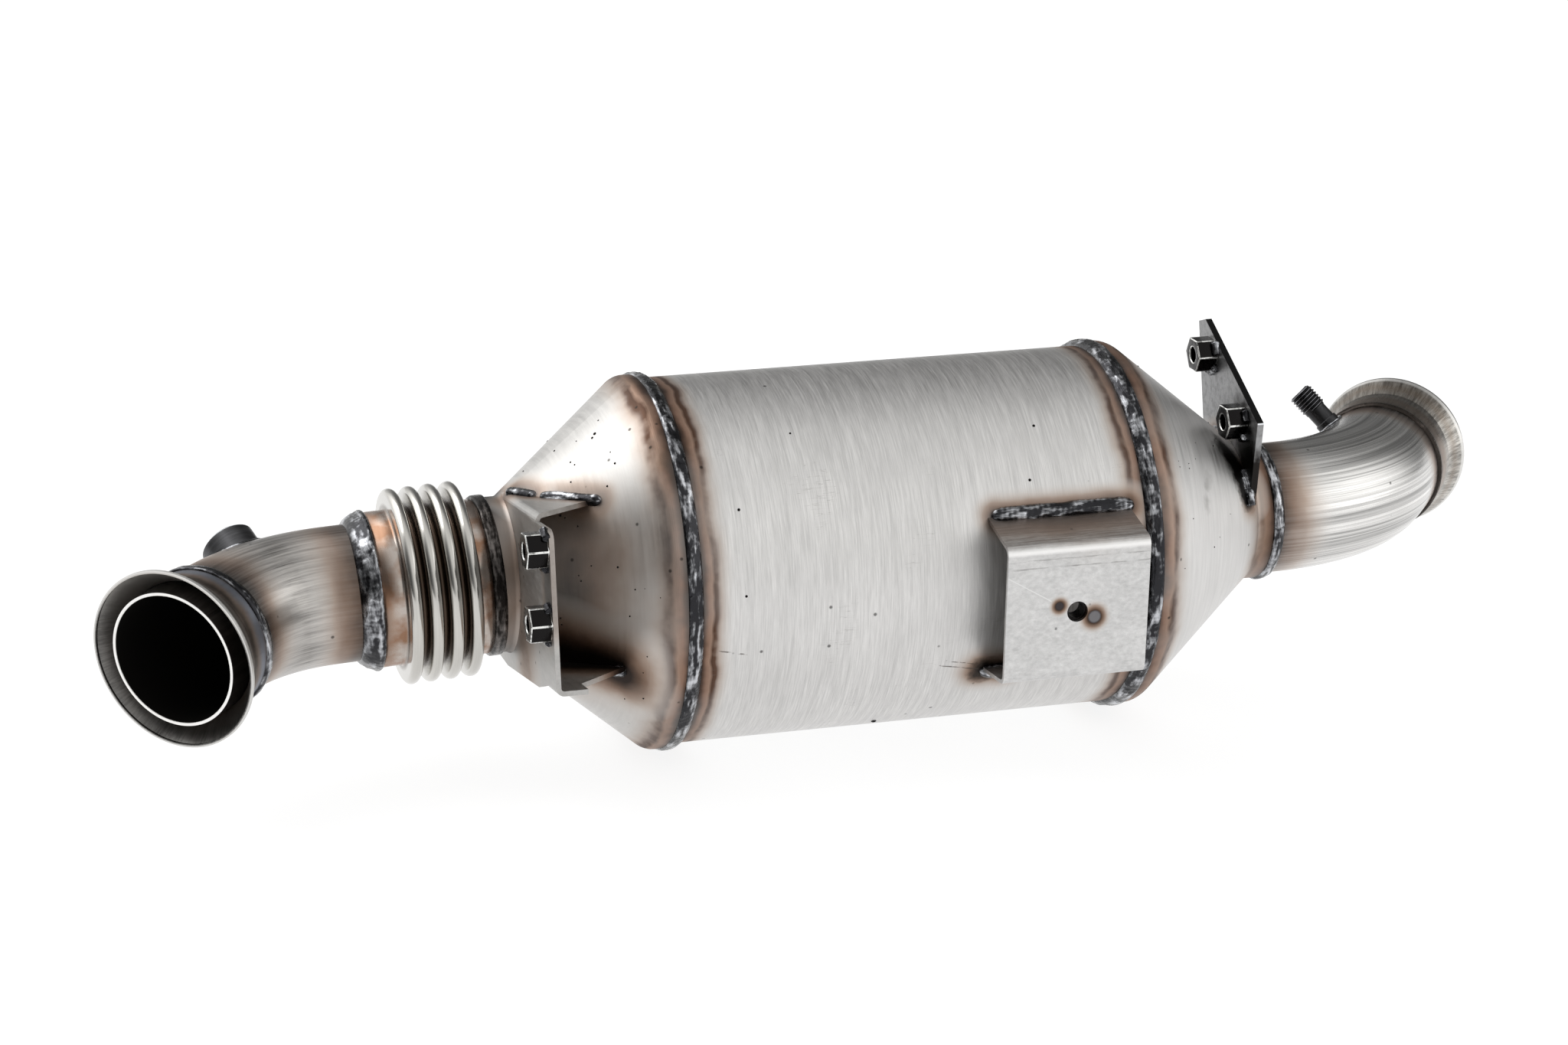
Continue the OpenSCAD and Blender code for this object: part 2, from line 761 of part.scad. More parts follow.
module side_bracket() {
    color(steel) in_place() rotate([side_turn, 0, 0]) difference() {
        along_side() polygon(strip(side_path, side_radii, side_t));
        can_filled();
        at_side_hole() translate([0, 0, -side_t - over])
            cylinder(d = bolt_hole_d, h = side_t + 2 * over);
    }
}

module side_bracket_nut() {
    color(dark_steel) in_place() rotate([side_turn, 0, 0])
        at_side_hole() translate([0, 0, -side_t - side_nut_h]) weld_nut(side_nut_h);
}

// Angle from the middle of the bracket to the line where a fold meets the shell
side_meet = asin((side_half + side_face * tan(side_splay)) * cos(side_splay) / can_r) - side_splay;

module side_bracket_welds() {
    y = -can_r * cos(side_meet);
    z = can_r * sin(side_meet);
    color(weld_grey) in_place() rotate([side_turn, 0, 0]) difference() {
        for (side = [-1, 1])
            bead(
                [side_x0 + fillet_r / 2, y, side * z],
                [side_x0 + side_len - fillet_r / 2, y, side * z],
                fillet_r
            );
        along_side() polygon(rounded(side_path, side_radii));
        can_filled();
    }
}

// Outlet side

module outlet_cone() {
    color(steel) in_place() outlet_side() cone_sheet(outlet_path);
}

module outlet_bracket_blank() {
    outline = [
        [plate_back, plate_top - 3], [plate_back - 9, plate_top], [-plate_front, plate_shoulder],
        [-plate_front * 0.79, 0], [0, 0], [plate_foot, plate_foot]
    ];
    translate([seam_span + plate_x, 0, 0]) rotate([90, 0, 90]) linear_extrude(plate_t)
        polygon(outline);
}

// The two nut places on the plate, with +Z away from it
module at_outlet_nuts() {
    for (i = [0, 1])
        translate([
            seam_span + plate_x,
            plate_nut_y - i * plate_nut_spacing * cos(plate_nut_slope),
            plate_nut_z - i * plate_nut_spacing * sin(plate_nut_slope)
        ]) rotate([0, -90, 0]) children();
}

module outlet_bracket() {
    color(steel) in_place() difference() {
        outlet_bracket_blank();
        outlet_side() cone_filled(outlet_path);
        at_outlet_nuts() translate([0, 0, -plate_t - over])
            cylinder(d = bolt_hole_d, h = plate_t + 2 * over);
    }
}

module outlet_bracket_nuts() {
    color(dark_steel) in_place() at_outlet_nuts() weld_nut(nut_h);
}

// Radius of the outlet cone at a distance from the seam, on its straight taper
function outlet_cone_r(x) = lip_r + (outlet_neck_r - lip_r) * (x - lip_len) / outlet_taper;

module outlet_bracket_welds() {
    color(weld_grey) in_place() difference() {
        for (span = [[52, 34], [136, 22]])
            outlet_side() translate([0, 0, plate_x]) rotate([0, 0, 90 + span[0]])
                rotate_extrude(angle = span[1]) translate([outlet_cone_r(plate_x), 0])
                circle(fillet_r);
        outlet_bracket_blank();
        outlet_side() cone_filled(outlet_path);
    }
}

module outlet_neck_weld() {
    color(weld_grey) in_place() outlet_run()
        step_bead(pipe_r, outlet_neck_r, neck_bead_w / 2, neck_bead_w / 2, bead_h);
}

module outlet_pipe() {
    color(steel) in_place() {
        outlet_run() translate([0, 0, -spigot]) tube(pipe_r, pipe_in_r, spigot + outlet_lead);
        outlet_run() translate([0, 0, outlet_lead])
            bend_piece(outlet_bend_r, outlet_bend, pipe_r, pipe_in_r);
        difference() {
            outlet_mouth() tube(pipe_r, pipe_in_r, outlet_tail - hairline);
            stub_frame() translate([0, 0, stub_root]) cylinder(d = stub_bore_d, h = pipe_r);
        }
    }
}

module outlet_flange() {
    color(steel) in_place() outlet_mouth() flared_collar(outlet_rim_d / 2, outlet_collar_len);
}

module outlet_flange_weld() {
    color(weld_grey) in_place() outlet_mouth() translate([0, 0, outlet_collar_len])
        step_bead(pipe_r, collar_r, outlet_collar_bead_w / 2, outlet_collar_bead_w / 2, bead_h / 2);
}

module pressure_stub() {
    neck = pipe_r + stub_foot_len;
    thread = neck + stub_neck_len;
    tip = thread + stub_thread_len;
    bore_r = stub_bore_d / 2;
    color(dark_steel) in_place() difference() {
        stub_frame() rotate_extrude() polygon([
            [bore_r, stub_root], [stub_foot_d / 2, stub_root], [stub_foot_d / 2, neck],
            [stub_neck_d / 2, neck], [stub_neck_d / 2, thread], [stub_thread_d / 2, thread],
            [stub_thread_d / 2, tip - stub_chamfer], [stub_thread_d / 2 - stub_chamfer, tip],
            [bore_r, tip]
        ]);
        outlet_mouth() cylinder(r = pipe_r, h = outlet_tail, $fn = fine_fn);
    }
}

module pressure_stub_weld() {
    color(weld_grey) in_place() difference() {
        stub_frame() foot_bead(stub_foot_d / 2, bead_h / 2);
        outlet_mouth() cylinder(r = pipe_r, h = outlet_tail, $fn = fine_fn);
    }
}

inlet_flange();
inlet_flange_weld();
inlet_pipe_end();
inlet_pipe_seat();
inlet_pipe();
sensor_boss();
sensor_boss_weld();
bellows_weld();
bellows();
inlet_neck_weld();
inlet_cone();
inlet_bracket();
inlet_bracket_nuts();
inlet_bracket_welds();
inlet_seam_weld();
body_shell();
filter_brick();
support_mat();
side_bracket();
side_bracket_nut();
side_bracket_welds();
outlet_seam_weld();
outlet_cone();
outlet_bracket();
outlet_bracket_nuts();
outlet_bracket_welds();
outlet_neck_weld();
outlet_pipe();
outlet_flange();
outlet_flange_weld();
pressure_stub();
pressure_stub_weld();
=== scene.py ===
# %% [markdown]
# # A diesel particulate filter
# The solids of the filter come from the CAD frame. This script dresses them: satin stainless sheet
# with heat tint beside every weld, rippled weld beads, a bright bellows, weld nuts and a threaded stub.

import math
import random

import bmesh
import bpy
from mathutils import Matrix, Vector, noise


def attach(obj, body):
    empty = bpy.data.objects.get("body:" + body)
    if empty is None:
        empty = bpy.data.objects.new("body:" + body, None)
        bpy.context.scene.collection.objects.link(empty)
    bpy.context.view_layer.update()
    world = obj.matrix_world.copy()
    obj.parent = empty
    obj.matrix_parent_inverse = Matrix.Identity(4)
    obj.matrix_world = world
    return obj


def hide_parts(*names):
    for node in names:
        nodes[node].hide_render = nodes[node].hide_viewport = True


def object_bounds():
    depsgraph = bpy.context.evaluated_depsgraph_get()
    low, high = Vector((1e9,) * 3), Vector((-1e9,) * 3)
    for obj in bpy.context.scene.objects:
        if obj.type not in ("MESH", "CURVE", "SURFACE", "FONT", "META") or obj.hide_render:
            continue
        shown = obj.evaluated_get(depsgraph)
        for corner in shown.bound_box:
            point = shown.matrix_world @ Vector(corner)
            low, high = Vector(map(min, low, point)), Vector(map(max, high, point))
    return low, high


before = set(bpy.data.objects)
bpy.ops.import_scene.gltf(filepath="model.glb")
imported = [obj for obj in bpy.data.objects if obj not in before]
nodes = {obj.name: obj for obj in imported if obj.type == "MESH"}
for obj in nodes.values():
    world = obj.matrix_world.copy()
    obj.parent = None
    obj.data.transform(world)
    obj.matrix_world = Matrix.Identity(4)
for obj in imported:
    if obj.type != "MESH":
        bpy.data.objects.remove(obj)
cad_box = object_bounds()
print("nodes loaded:", len(nodes))

# %% [markdown]
# ## Places on the filter
# Every bead and finish needs to know where it sits, so the script keeps the same frames as the solids.
# Each frame is a 4x4 matrix: a ring is modelled around its own Z axis and then moved by the matrix.
# The frames follow the gas: inlet mouth, inlet run, canister, outlet run and outlet mouth.
# Lengths are in millimetres and angles in degrees, with the same values as in the solids.

# %% Frames
MM = 0.001


def turn(axis, degrees):
    return Matrix.Rotation(math.radians(degrees), 4, axis)


def move(x, y, z):
    return Matrix.Translation(Vector((x, y, z)) * MM)


def spot(matrix, x, y, z):
    """A point of a frame, given in millimetres."""
    return matrix @ (Vector((x, y, z)) * MM)


def along_bend(lead, bend_r, angle):
    """The frame at an angle along a bend that starts after a straight lead."""
    a = math.radians(angle)
    return move(bend_r * (1 - math.cos(a)), 0, lead + bend_r * math.sin(a)) @ turn("Y", angle)


SPAN, NECK_IN, NECK_OUT = 243, 87, 94
CAN_R, LIP_R, PIPE_R, CUFF_R, COLLAR_R = 95, 97.1, 35, 39.8, 36.6
LIP_LEN, IN_TAPER, OUT_TAPER = 10, 68, 72
IN_NECK_R, OUT_NECK_R = 40, 37.1
BELLOWS_LEN, BELLOWS_TILT = 62.5, 2.6
IN_LEAD, IN_BEND_R, IN_BEND, IN_TAIL, IN_ROLL = 18, 84, 47.5, 37, 94.4
OUT_LEAD, OUT_BEND_R, OUT_BEND, OUT_TAIL = 6, 100, 53, 58
STUB_BACK, STUB_TURN = 48, 44
BOSS_ALONG, BOSS_TURN, BOSS_TOP = 21, 152, 12
IN_BRACKET_TURN, SIDE_BRACKET_TURN = -8, 3.9
FLIP = turn("X", 180)

side_in = turn("Y", -90)
run_in = side_in @ move(0, 0, NECK_IN) @ turn("Y", -BELLOWS_TILT) @ turn("Z", -IN_ROLL)
mouth_in = run_in @ along_bend(BELLOWS_LEN + IN_LEAD, IN_BEND_R, IN_BEND) @ move(0, 0, IN_TAIL)
SEAM = Matrix.Translation(-mouth_in.translation)
INLET_SIDE = SEAM @ side_in
OUTLET_SIDE = SEAM @ move(SPAN, 0, 0) @ turn("Y", 90)
INLET_RUN = SEAM @ run_in
OUTLET_RUN = OUTLET_SIDE @ move(0, 0, NECK_OUT) @ turn("Z", 90)
INLET_MOUTH = SEAM @ mouth_in @ FLIP
out_tail = OUTLET_RUN @ along_bend(OUT_LEAD, OUT_BEND_R, OUT_BEND)
OUTLET_MOUTH = out_tail @ move(0, 0, OUT_TAIL) @ FLIP
STUB = out_tail @ move(0, 0, OUT_TAIL - STUB_BACK) @ turn("Z", STUB_TURN) @ turn("Y", 90)
boss_place = INLET_RUN @ along_bend(BELLOWS_LEN + IN_LEAD, IN_BEND_R, BOSS_ALONG)
BOSS = boss_place @ turn("Z", BOSS_TURN) @ turn("Y", 90)
IN_BRACKET = SEAM @ turn("X", IN_BRACKET_TURN)
SIDE_BRACKET = SEAM @ turn("X", SIDE_BRACKET_TURN)
print("seam frame at", [round(v, 4) for v in SEAM.translation])

# %% [markdown]
# ## Camera
# The camera stands where the photograph was taken from: a long lens from the front, a little to the
# inlet side and above. It was fitted to the canister's outline, with its focal length in pixels.

# %% Camera
CAMERA_PLACE = (-472.6, -1872.2, 608.8)
FOCAL_PIXELS, PHOTO_WIDTH = 5105, 2048
SENSOR = 36
RIGHT = Vector((0.96008, -0.27970, 0.0)).normalized()
AHEAD = Vector((0.2676, 0.9184, -0.2915)).normalized()
camera = bpy.data.objects.new("camera", bpy.data.cameras.new("camera"))
axes = Matrix((RIGHT, RIGHT.cross(AHEAD), -AHEAD)).transposed()
camera.matrix_world = SEAM @ move(*CAMERA_PLACE) @ axes.to_4x4()
camera.data.sensor_width = SENSOR
camera.data.lens = SENSOR * FOCAL_PIXELS / PHOTO_WIDTH
camera.data.clip_end = 50
bpy.context.scene.collection.objects.link(camera)
bpy.context.scene.camera = camera
bpy.context.scene.view_settings.view_transform = "Standard"
print("camera at", [round(v, 3) for v in camera.matrix_world.translation])


# %% [markdown]
# ## Node helper
# A small helper adds shader nodes: it makes a node, sets its options, and links or sets its inputs.
# All materials below are built with it, so that each recipe stays readable.

# %% Node helper
class Recipe:
    """Adds nodes to one tree and links what it is given."""

    def __init__(self, tree):
        self.tree = tree

    def add(self, kind, inputs=(), **options):
        node = self.tree.nodes.new(kind)
        for name, value in options.items():
            setattr(node, name, value)
        for key, value in dict(inputs).items():
            if isinstance(value, bpy.types.NodeSocket):
                self.tree.links.new(value, node.inputs[key])
            else:
                node.inputs[key].default_value = value
        return node

    def math(self, operation, a, b=0.0, c=0.0, clamp=False):
        inputs = {0: a, 1: b, 2: c}
        return self.add("ShaderNodeMath", inputs, operation=operation, use_clamp=clamp).outputs[0]

    def times(self, a, b):
        return self.math("MULTIPLY", a, b)

    def vector(self, operation, a, b=(0, 0, 0)):
        node = self.add("ShaderNodeVectorMath", {0: a, 1: b}, operation=operation)
        return node.outputs["Value" if operation in ("DOT_PRODUCT", "LENGTH") else "Vector"]

    def noise(self, vector, scale, detail=3.0, rough=0.55):
        inputs = {"Vector": vector, "Scale": scale, "Detail": detail, "Roughness": rough}
        return self.add("ShaderNodeTexNoise", inputs).outputs["Fac"]

    def ramp(self, factor, stops):
        node = self.add("ShaderNodeValToRGB", {"Fac": factor})
        elements = node.color_ramp.elements
        while len(elements) < len(stops):
            elements.new(0.5)
        for element, (place, color) in zip(elements, stops):
            element.position = place
            element.color = (*color, 1)
        return node.outputs["Color"]

    def span(self, value, low, high, to_low=0.0, to_high=1.0, soft=False):
        """Turns the range from low to high into the range from to_low to to_high."""
        inputs = {"Value": value, 1: low, 2: high, 3: to_low, 4: to_high}
        kind = "SMOOTHSTEP" if soft else "LINEAR"
        return self.add("ShaderNodeMapRange", inputs, interpolation_type=kind).outputs["Result"]

    def mix(self, factor, a, b):
        inputs = {"Factor": factor, 6: a, 7: b}
        return self.add("ShaderNodeMix", inputs, data_type="RGBA").outputs[2]

    def mapped(self, vector, matrix, scale=(1, 1, 1)):
        """The vector seen from a frame, then stretched."""
        back = matrix.inverted()
        inputs = {"Vector": vector, "Location": back.translation, "Rotation": back.to_euler()}
        seen = self.add("ShaderNodeMapping", inputs).outputs["Vector"]
        return self.vector("MULTIPLY", seen, scale)


print("node helper ready")

# %% [markdown]
# ## Room and window
# Satin metal shows the room around it in broad, gentle gradients. The room is an even, bright world with
# wide lobes that add light around one direction or take it away, like windows and dark walls. The camera
# itself sees plain white. One large lamp stands in for the nearest window.

# %% Room and window
LOBES = [
    ((-0.9, -0.43, 0.05), 75, -0.9),
    ((0.6, 0.72, 0.35), 65, -0.85),
    ((0.27, -0.05, 0.96), 50, -0.08),
    ((-0.55, 0.5, 0.65), 45, 0.9),
    ((0.87, -0.37, 0.16), 45, 0.8),
]
LEAST_LIGHT = 0.04
world = bpy.data.worlds.new("studio")
bpy.context.scene.world = world
world.use_nodes = True
world.node_tree.nodes.clear()
w = Recipe(world.node_tree)
direction = w.add("ShaderNodeTexCoord").outputs["Generated"]
level = 1.0
for way, wide, amount in LOBES:
    facing = w.vector("DOT_PRODUCT", direction, Vector(way).normalized())
    lobe = w.span(facing, math.cos(math.radians(wide)), 1.0, 0, amount, soft=True)
    level = w.math("ADD", level, lobe)
seen = w.add("ShaderNodeLightPath").outputs["Is Camera Ray"]
strength = w.math("MAXIMUM", w.math("MAXIMUM", level, LEAST_LIGHT), seen)
back = w.add("ShaderNodeBackground", {"Color": (1, 1, 0.99, 1), "Strength": strength})
w.add("ShaderNodeOutputWorld", {"Surface": back.outputs[0]})

middle = spot(SEAM, 110, 0, 0)
lamp = bpy.data.lights.new("window", "AREA")
lamp.shape = "RECTANGLE"
lamp.size, lamp.size_y = 1.4, 1.0
lamp.energy = 8
window = bpy.data.objects.new("window", lamp)
window.location = middle + Vector((-0.9, 0.6, 1.4))
window.rotation_euler = (middle - window.location).to_track_quat("-Z", "Y").to_euler()
bpy.context.scene.collection.objects.link(window)
print("lobes in the room:", len(LOBES))

# %% [markdown]
# ## Floor
# The part lies on white paper. The paper glows by itself, so that only a faint shadow stays under the
# part. It lies a hair below the lowest point of the solids.

# %% Floor
FLOOR_GAP = 0.0006
floor_z = cad_box[0][2] - FLOOR_GAP
floor_mesh = bmesh.new()
bmesh.ops.create_grid(floor_mesh, x_segments=4, y_segments=4, size=8)
bmesh.ops.translate(floor_mesh, verts=floor_mesh.verts, vec=(0.3, 2, floor_z))
floor_data = bpy.data.meshes.new("floor")
floor_mesh.to_mesh(floor_data)
floor_mesh.free()
floor = bpy.data.objects.new("floor", floor_data)
bpy.context.scene.collection.objects.link(floor)
paper = bpy.data.materials.new("paper")
paper.use_nodes = True
shader = paper.node_tree.nodes["Principled BSDF"]
look = {
    "Base Color": (0.22, 0.22, 0.22, 1), "Roughness": 0.9, "Specular IOR Level": 0.0,
    "Emission Color": (1, 1, 1, 1), "Emission Strength": 0.86,
}
for name, value in look.items():
    shader.inputs[name].default_value = value
floor_data.materials.append(paper)
print("floor at", round(floor_z, 4))

# %% [markdown]
# ## Shared effects
# Four node groups carry what several finishes need. Heat tint colours the sheet by its distance from a
# weld: nearly black at the bead, then brown, copper and straw. Along the long seams a dark line breaks in
# and out of the brown, so noise chooses between a plain ramp and a lined one.


# %% Heat tint
def group(name, inputs, outputs):
    """An empty node group with named sockets."""
    tree = bpy.data.node_groups.new(name, "ShaderNodeTree")
    kinds = {"F": "NodeSocketFloat", "V": "NodeSocketVector", "C": "NodeSocketColor"}
    for label, kind in inputs:
        tree.interface.new_socket(label, in_out="INPUT", socket_type=kinds[kind])
    for label, kind in outputs:
        tree.interface.new_socket(label, in_out="OUTPUT", socket_type=kinds[kind])
    r = Recipe(tree)
    return tree, r, r.add("NodeGroupInput").outputs


heat_tint, r, i = group(
    "heat tint",
    [("Color", "C"), ("Distance", "F"), ("Reach", "F"), ("Strength", "F"), ("Line", "F"), ("Vector", "V")],
    [("Color", "C"), ("Mask", "F")],
)
wander = r.math("SUBTRACT", r.noise(i["Vector"], 32, 3, 0.55), 0.5)
depth = r.math("MULTIPLY_ADD", wander, 0.5, r.math("DIVIDE", i["Distance"], i["Reach"]))
plain = r.ramp(
    depth,
    [
        (0.0, (0.03, 0.022, 0.019)), (0.15, (0.1, 0.065, 0.048)), (0.3, (0.21, 0.142, 0.106)),
        (0.5, (0.37, 0.29, 0.24)), (0.75, (0.52, 0.465, 0.425)), (1.0, (0.6, 0.58, 0.56)),
    ],
)
lined = r.ramp(
    depth,
    [
        (0.0, (0.03, 0.021, 0.018)), (0.09, (0.09, 0.056, 0.042)), (0.2, (0.24, 0.15, 0.11)),
        (0.31, (0.3, 0.2, 0.15)), (0.4, (0.085, 0.047, 0.032)), (0.5, (0.11, 0.063, 0.044)),
        (0.62, (0.38, 0.295, 0.242)), (0.82, (0.52, 0.47, 0.43)), (1.0, (0.6, 0.58, 0.56)),
    ],
)
broken = r.span(r.noise(i["Vector"], 26, 4, 0.65), 0.34, 0.54)
oxide = r.mix(r.times(broken, i["Line"]), plain, lined)
uneven = r.span(r.noise(i["Vector"], 15, 2), 0.35, 0.62, 0.82, 1.1)
fade = r.math("MULTIPLY", r.span(depth, 0.45, 1.1, uneven, 0), i["Strength"], clamp=True)
r.add("NodeGroupOutput", {"Color": r.mix(fade, i["Color"], oxide), "Mask": fade})
print("group:", heat_tint.name)

# %% [markdown]
# Brushed grain is a fine noise over a broad one, and becomes lines when its vector is squeezed one way.
# Specks are the small dark dots of spatter and handling: dots in a few cells of a Voronoi pattern.

# %% Grain and specks
brushed_grain, r, i = group("brushed grain", [("Vector", "V"), ("Scale", "F")], [("Value", "F")])
fine = r.noise(i["Vector"], i["Scale"], 5, 0.7)
broad = r.noise(i["Vector"], r.times(i["Scale"], 0.17), 3)
r.add("NodeGroupOutput", {"Value": r.math("MULTIPLY_ADD", fine, 0.78, r.times(broad, 0.22))})

specks, r, i = group("specks", [("Vector", "V"), ("Scale", "F"), ("Amount", "F")], [("Mask", "F")])
cells = r.add("ShaderNodeTexVoronoi", {"Vector": i["Vector"], "Scale": i["Scale"]})
chance = r.add("ShaderNodeSeparateColor", {"Color": cells.outputs["Color"]}).outputs[0]
chosen = r.math("LESS_THAN", chance, i["Amount"])
dot = r.span(cells.outputs["Distance"], 0.1, 0.2, 1, 0)
r.add("NodeGroupOutput", {"Mask": r.times(dot, chosen)})
print("groups:", brushed_grain.name, "and", specks.name)

# %% [markdown]
# Bend coordinates straighten a bent pipe, so that streaks can follow it. A point is swung back about the
# centre of the bend, which leaves its place in the cross-section and the length along the pipe.

# %% Bend coordinates
bend_coordinates, r, i = group(
    "bend coordinates",
    [("Vector", "V"), ("Radius", "F"), ("Angle", "F")],
    [("Across", "V"), ("Along", "F")],
)
axis_x, axis_y, axis_z = r.add("ShaderNodeSeparateXYZ", {"Vector": i["Vector"]}).outputs[:3]
from_centre = r.math("SUBTRACT", i["Radius"], axis_x)
swing = r.math("ARCTAN2", axis_z, from_centre)
swing = r.math("MINIMUM", r.math("MAXIMUM", swing, 0.0), i["Angle"])
sine, cosine = r.math("SINE", swing), r.math("COSINE", swing)
outward = r.math("MULTIPLY_ADD", axis_z, sine, r.times(from_centre, cosine))
outward = r.math("SUBTRACT", outward, i["Radius"])
forward = r.math("SUBTRACT", r.times(axis_z, cosine), r.times(from_centre, sine))
along = r.math("MULTIPLY_ADD", swing, i["Radius"], forward)
across = r.add("ShaderNodeCombineXYZ", {0: outward, 1: axis_y}).outputs[0]
r.add("NodeGroupOutput", {"Across": across, "Along": along})
print("groups:", [g.name for g in bpy.data.node_groups])

# %% [markdown]
# ## Stainless sheet
# One recipe makes every sheet finish, because the sheets differ only in tone, in the direction of
# their grain and in where their welds lie. It starts from a satin metal, adds grain, lays a heat tint
# along each weld, and ends with specks, stains and a fine bump. A tint is a distance, a reach, a strength
# and, for long seams, its share of the dark line. A stain is a mask, a colour and a roughness.


# %% Sheet recipe
class Sheet(Recipe):
    """A material with a metal shader, and object coordinates to start from."""

    def __init__(self, name):
        self.material = bpy.data.materials.new(name)
        self.material.use_nodes = True
        super().__init__(self.material.node_tree)
        self.shader = self.tree.nodes["Principled BSDF"]
        self.point = self.add("ShaderNodeTexCoord").outputs["Object"]

    def from_plane(self, matrix, z, sign=0):
        """Distance from a plane across a frame's Z axis, in metres, on one side or both."""
        normal = matrix.to_3x3() @ Vector((0, 0, 1))
        offset = normal.dot(matrix @ Vector((0, 0, z * MM)))
        flat = self.math("SUBTRACT", self.vector("DOT_PRODUCT", self.point, normal), offset)
        return self.math("ABSOLUTE", flat) if sign == 0 else self.times(flat, sign)

    def from_line(self, start, end):
        """Distance from a straight bead between two points, in metres."""
        reach = end - start
        rel = self.vector("SUBTRACT", self.point, start)
        t = self.math("DIVIDE", self.vector("DOT_PRODUCT", rel, reach), reach.length_squared)
        t = self.math("MINIMUM", self.math("MAXIMUM", t, 0.0), 1.0)
        nearest = self.add("ShaderNodeVectorMath", {0: reach, "Scale": t}, operation="SCALE").outputs[0]
        return self.vector("LENGTH", self.vector("SUBTRACT", rel, nearest))

    def from_point(self, place):
        """Distance from one point, in metres."""
        return self.vector("LENGTH", self.vector("SUBTRACT", self.point, place))

    def from_axis(self, matrix):
        """Distance from a frame's Z axis, in metres."""
        return self.vector("LENGTH", self.mapped(self.point, matrix, (1, 1, 0)))

    def past(self, distance, start):
        """A distance that is counted from further out, such as the toe of a bead."""
        return self.math("SUBTRACT", distance, start)

    def grouped(self, tree, **inputs):
        named = {key.capitalize(): value for key, value in inputs.items()}
        return self.add("ShaderNodeGroup", named, node_tree=tree).outputs

    def brushed(self, vector, scale, stretch=(1, 1, 1)):
        """Grain, drawn out into lines where the stretch is small."""
        drawn = self.vector("MULTIPLY", vector, stretch)
        return self.grouped(brushed_grain, vector=drawn, scale=scale)["Value"]

    def join(self, tone, gloss, height, bump, bump_depth):
        """Links colour, roughness and bump to the metal shader."""
        inputs = {"Strength": bump, "Distance": bump_depth, "Height": height}
        normal = self.add("ShaderNodeBump", inputs).outputs["Normal"]
        self.shader.inputs["Metallic"].default_value = 1.0
        self.tree.links.new(tone, self.shader.inputs["Base Color"])
        self.tree.links.new(gloss, self.shader.inputs["Roughness"])
        self.tree.links.new(normal, self.shader.inputs["Normal"])
        return self.material

    def finish(
        self, color, grain, rough, tints=(), grain_depth=0.12, spots=0.05, bump=0.06, soil=0.5,
        stains=(), sharp=0.2,
    ):
        """Joins colour, grain, heat tints, specks and stains into the shader."""
        dark = (*[c * (1 - grain_depth * 2.2) for c in color], 1)
        light = (*[min(1, c * (1 + grain_depth)) for c in color], 1)
        tone = self.mix(self.span(grain, 0.5 - sharp, 0.5 + sharp), dark, light)
        cloud = self.noise(self.point, 22, 4, 0.6)
        tone = self.mix(self.span(cloud, 0.35, 0.75, 0, soil), tone, (*[c * 0.72 for c in color], 1))
        mask = None
        for distance, reach, strength, *line in tints:
            out = self.grouped(
                heat_tint, color=tone, distance=distance, reach=reach, strength=strength,
                line=line[0] if line else 0.0, vector=self.point,
            )
            tone = out["Color"]
            mask = out["Mask"] if mask is None else self.math("MAXIMUM", mask, out["Mask"])
        dots = self.grouped(specks, vector=self.point, scale=170, amount=spots)["Mask"]
        tone = self.mix(self.times(dots, 0.75), tone, (0.02, 0.018, 0.016, 1))
        gloss = self.span(grain, 0.25, 0.75, rough - 0.07, rough + 0.09)
        if mask is not None:
            gloss = self.math("MULTIPLY_ADD", mask, 0.08, gloss)
        for stain, stain_color, stain_rough in stains:
            tone = self.mix(stain, tone, (*stain_color, 1))
            gloss = self.math("MULTIPLY_ADD", stain, stain_rough - rough, gloss)
        height = self.math("MULTIPLY_ADD", dots, 0.4, grain)
        return self.join(tone, gloss, height, bump, 0.0004)


def wear(material, *names):
    """Puts a material on CAD nodes."""
    for name in names:
        data = nodes[name].data
        data.materials.clear()
        data.materials.append(material)


SILVER = (0.68, 0.67, 0.66)
RING_GRAIN = (1.0, 0.035, 0.035)
print("sheet recipe ready")

# %% [markdown]
# ## Where the short beads lie
# Heat tint follows the beads, so the finishes need the ends of each bead before the beads are made. The
# inlet bracket's folds meet the narrowing cone, the side bracket's beads run along the canister, and the
# outlet plate is held by two arcs. The soot and shade beside the inlet bracket are lines as well.


# %% Bead places
def cone_radius(x, neck_r, taper):
    """Outer radius of a cone, x from its seam."""
    return LIP_R + (neck_r - LIP_R) * (x - LIP_LEN) / taper


def fold_point(x, side, half=43):
    """Where a fold of the inlet bracket meets the inlet cone, x from the seam."""
    r = cone_radius(x, IN_NECK_R, IN_TAPER)
    return spot(IN_BRACKET, -x, -math.sqrt(r * r - half * half), side * half)


IN_BEADS = [
    (fold_point(start, side), fold_point(end, side))
    for start, end, side in ((39, 61, 1), (65.5, 73, 1), (32, 42, -1), (56, 68, -1))
]
# Lines for the soot and painted shade under the inlet bracket's lower fold, and for the painted shade
# beside its web.
LOW_SOOT_AND_SHADE = spot(SEAM, -58, -52, -29), spot(SEAM, -32, -71, -34)
WEB_SHADE = spot(SEAM, -57, -54, -18), spot(SEAM, -54, -55, 20)
SIDE_Y, SIDE_Z, SIDE_X0, SIDE_LEN = -85.2, 42.0, 154.5, 76
SIDE_BEADS = [
    tuple(spot(SIDE_BRACKET, x, SIDE_Y, z) for x in (SIDE_X0 + start, SIDE_X0 + SIDE_LEN - end))
    for z, start, end in ((SIDE_Z, 4.5, 0), (-SIDE_Z, 1, 1))
]
PLATE_X, PLATE_R = 75.3, 42.7
OUT_ARCS = [(52, 86), (136, 158)]


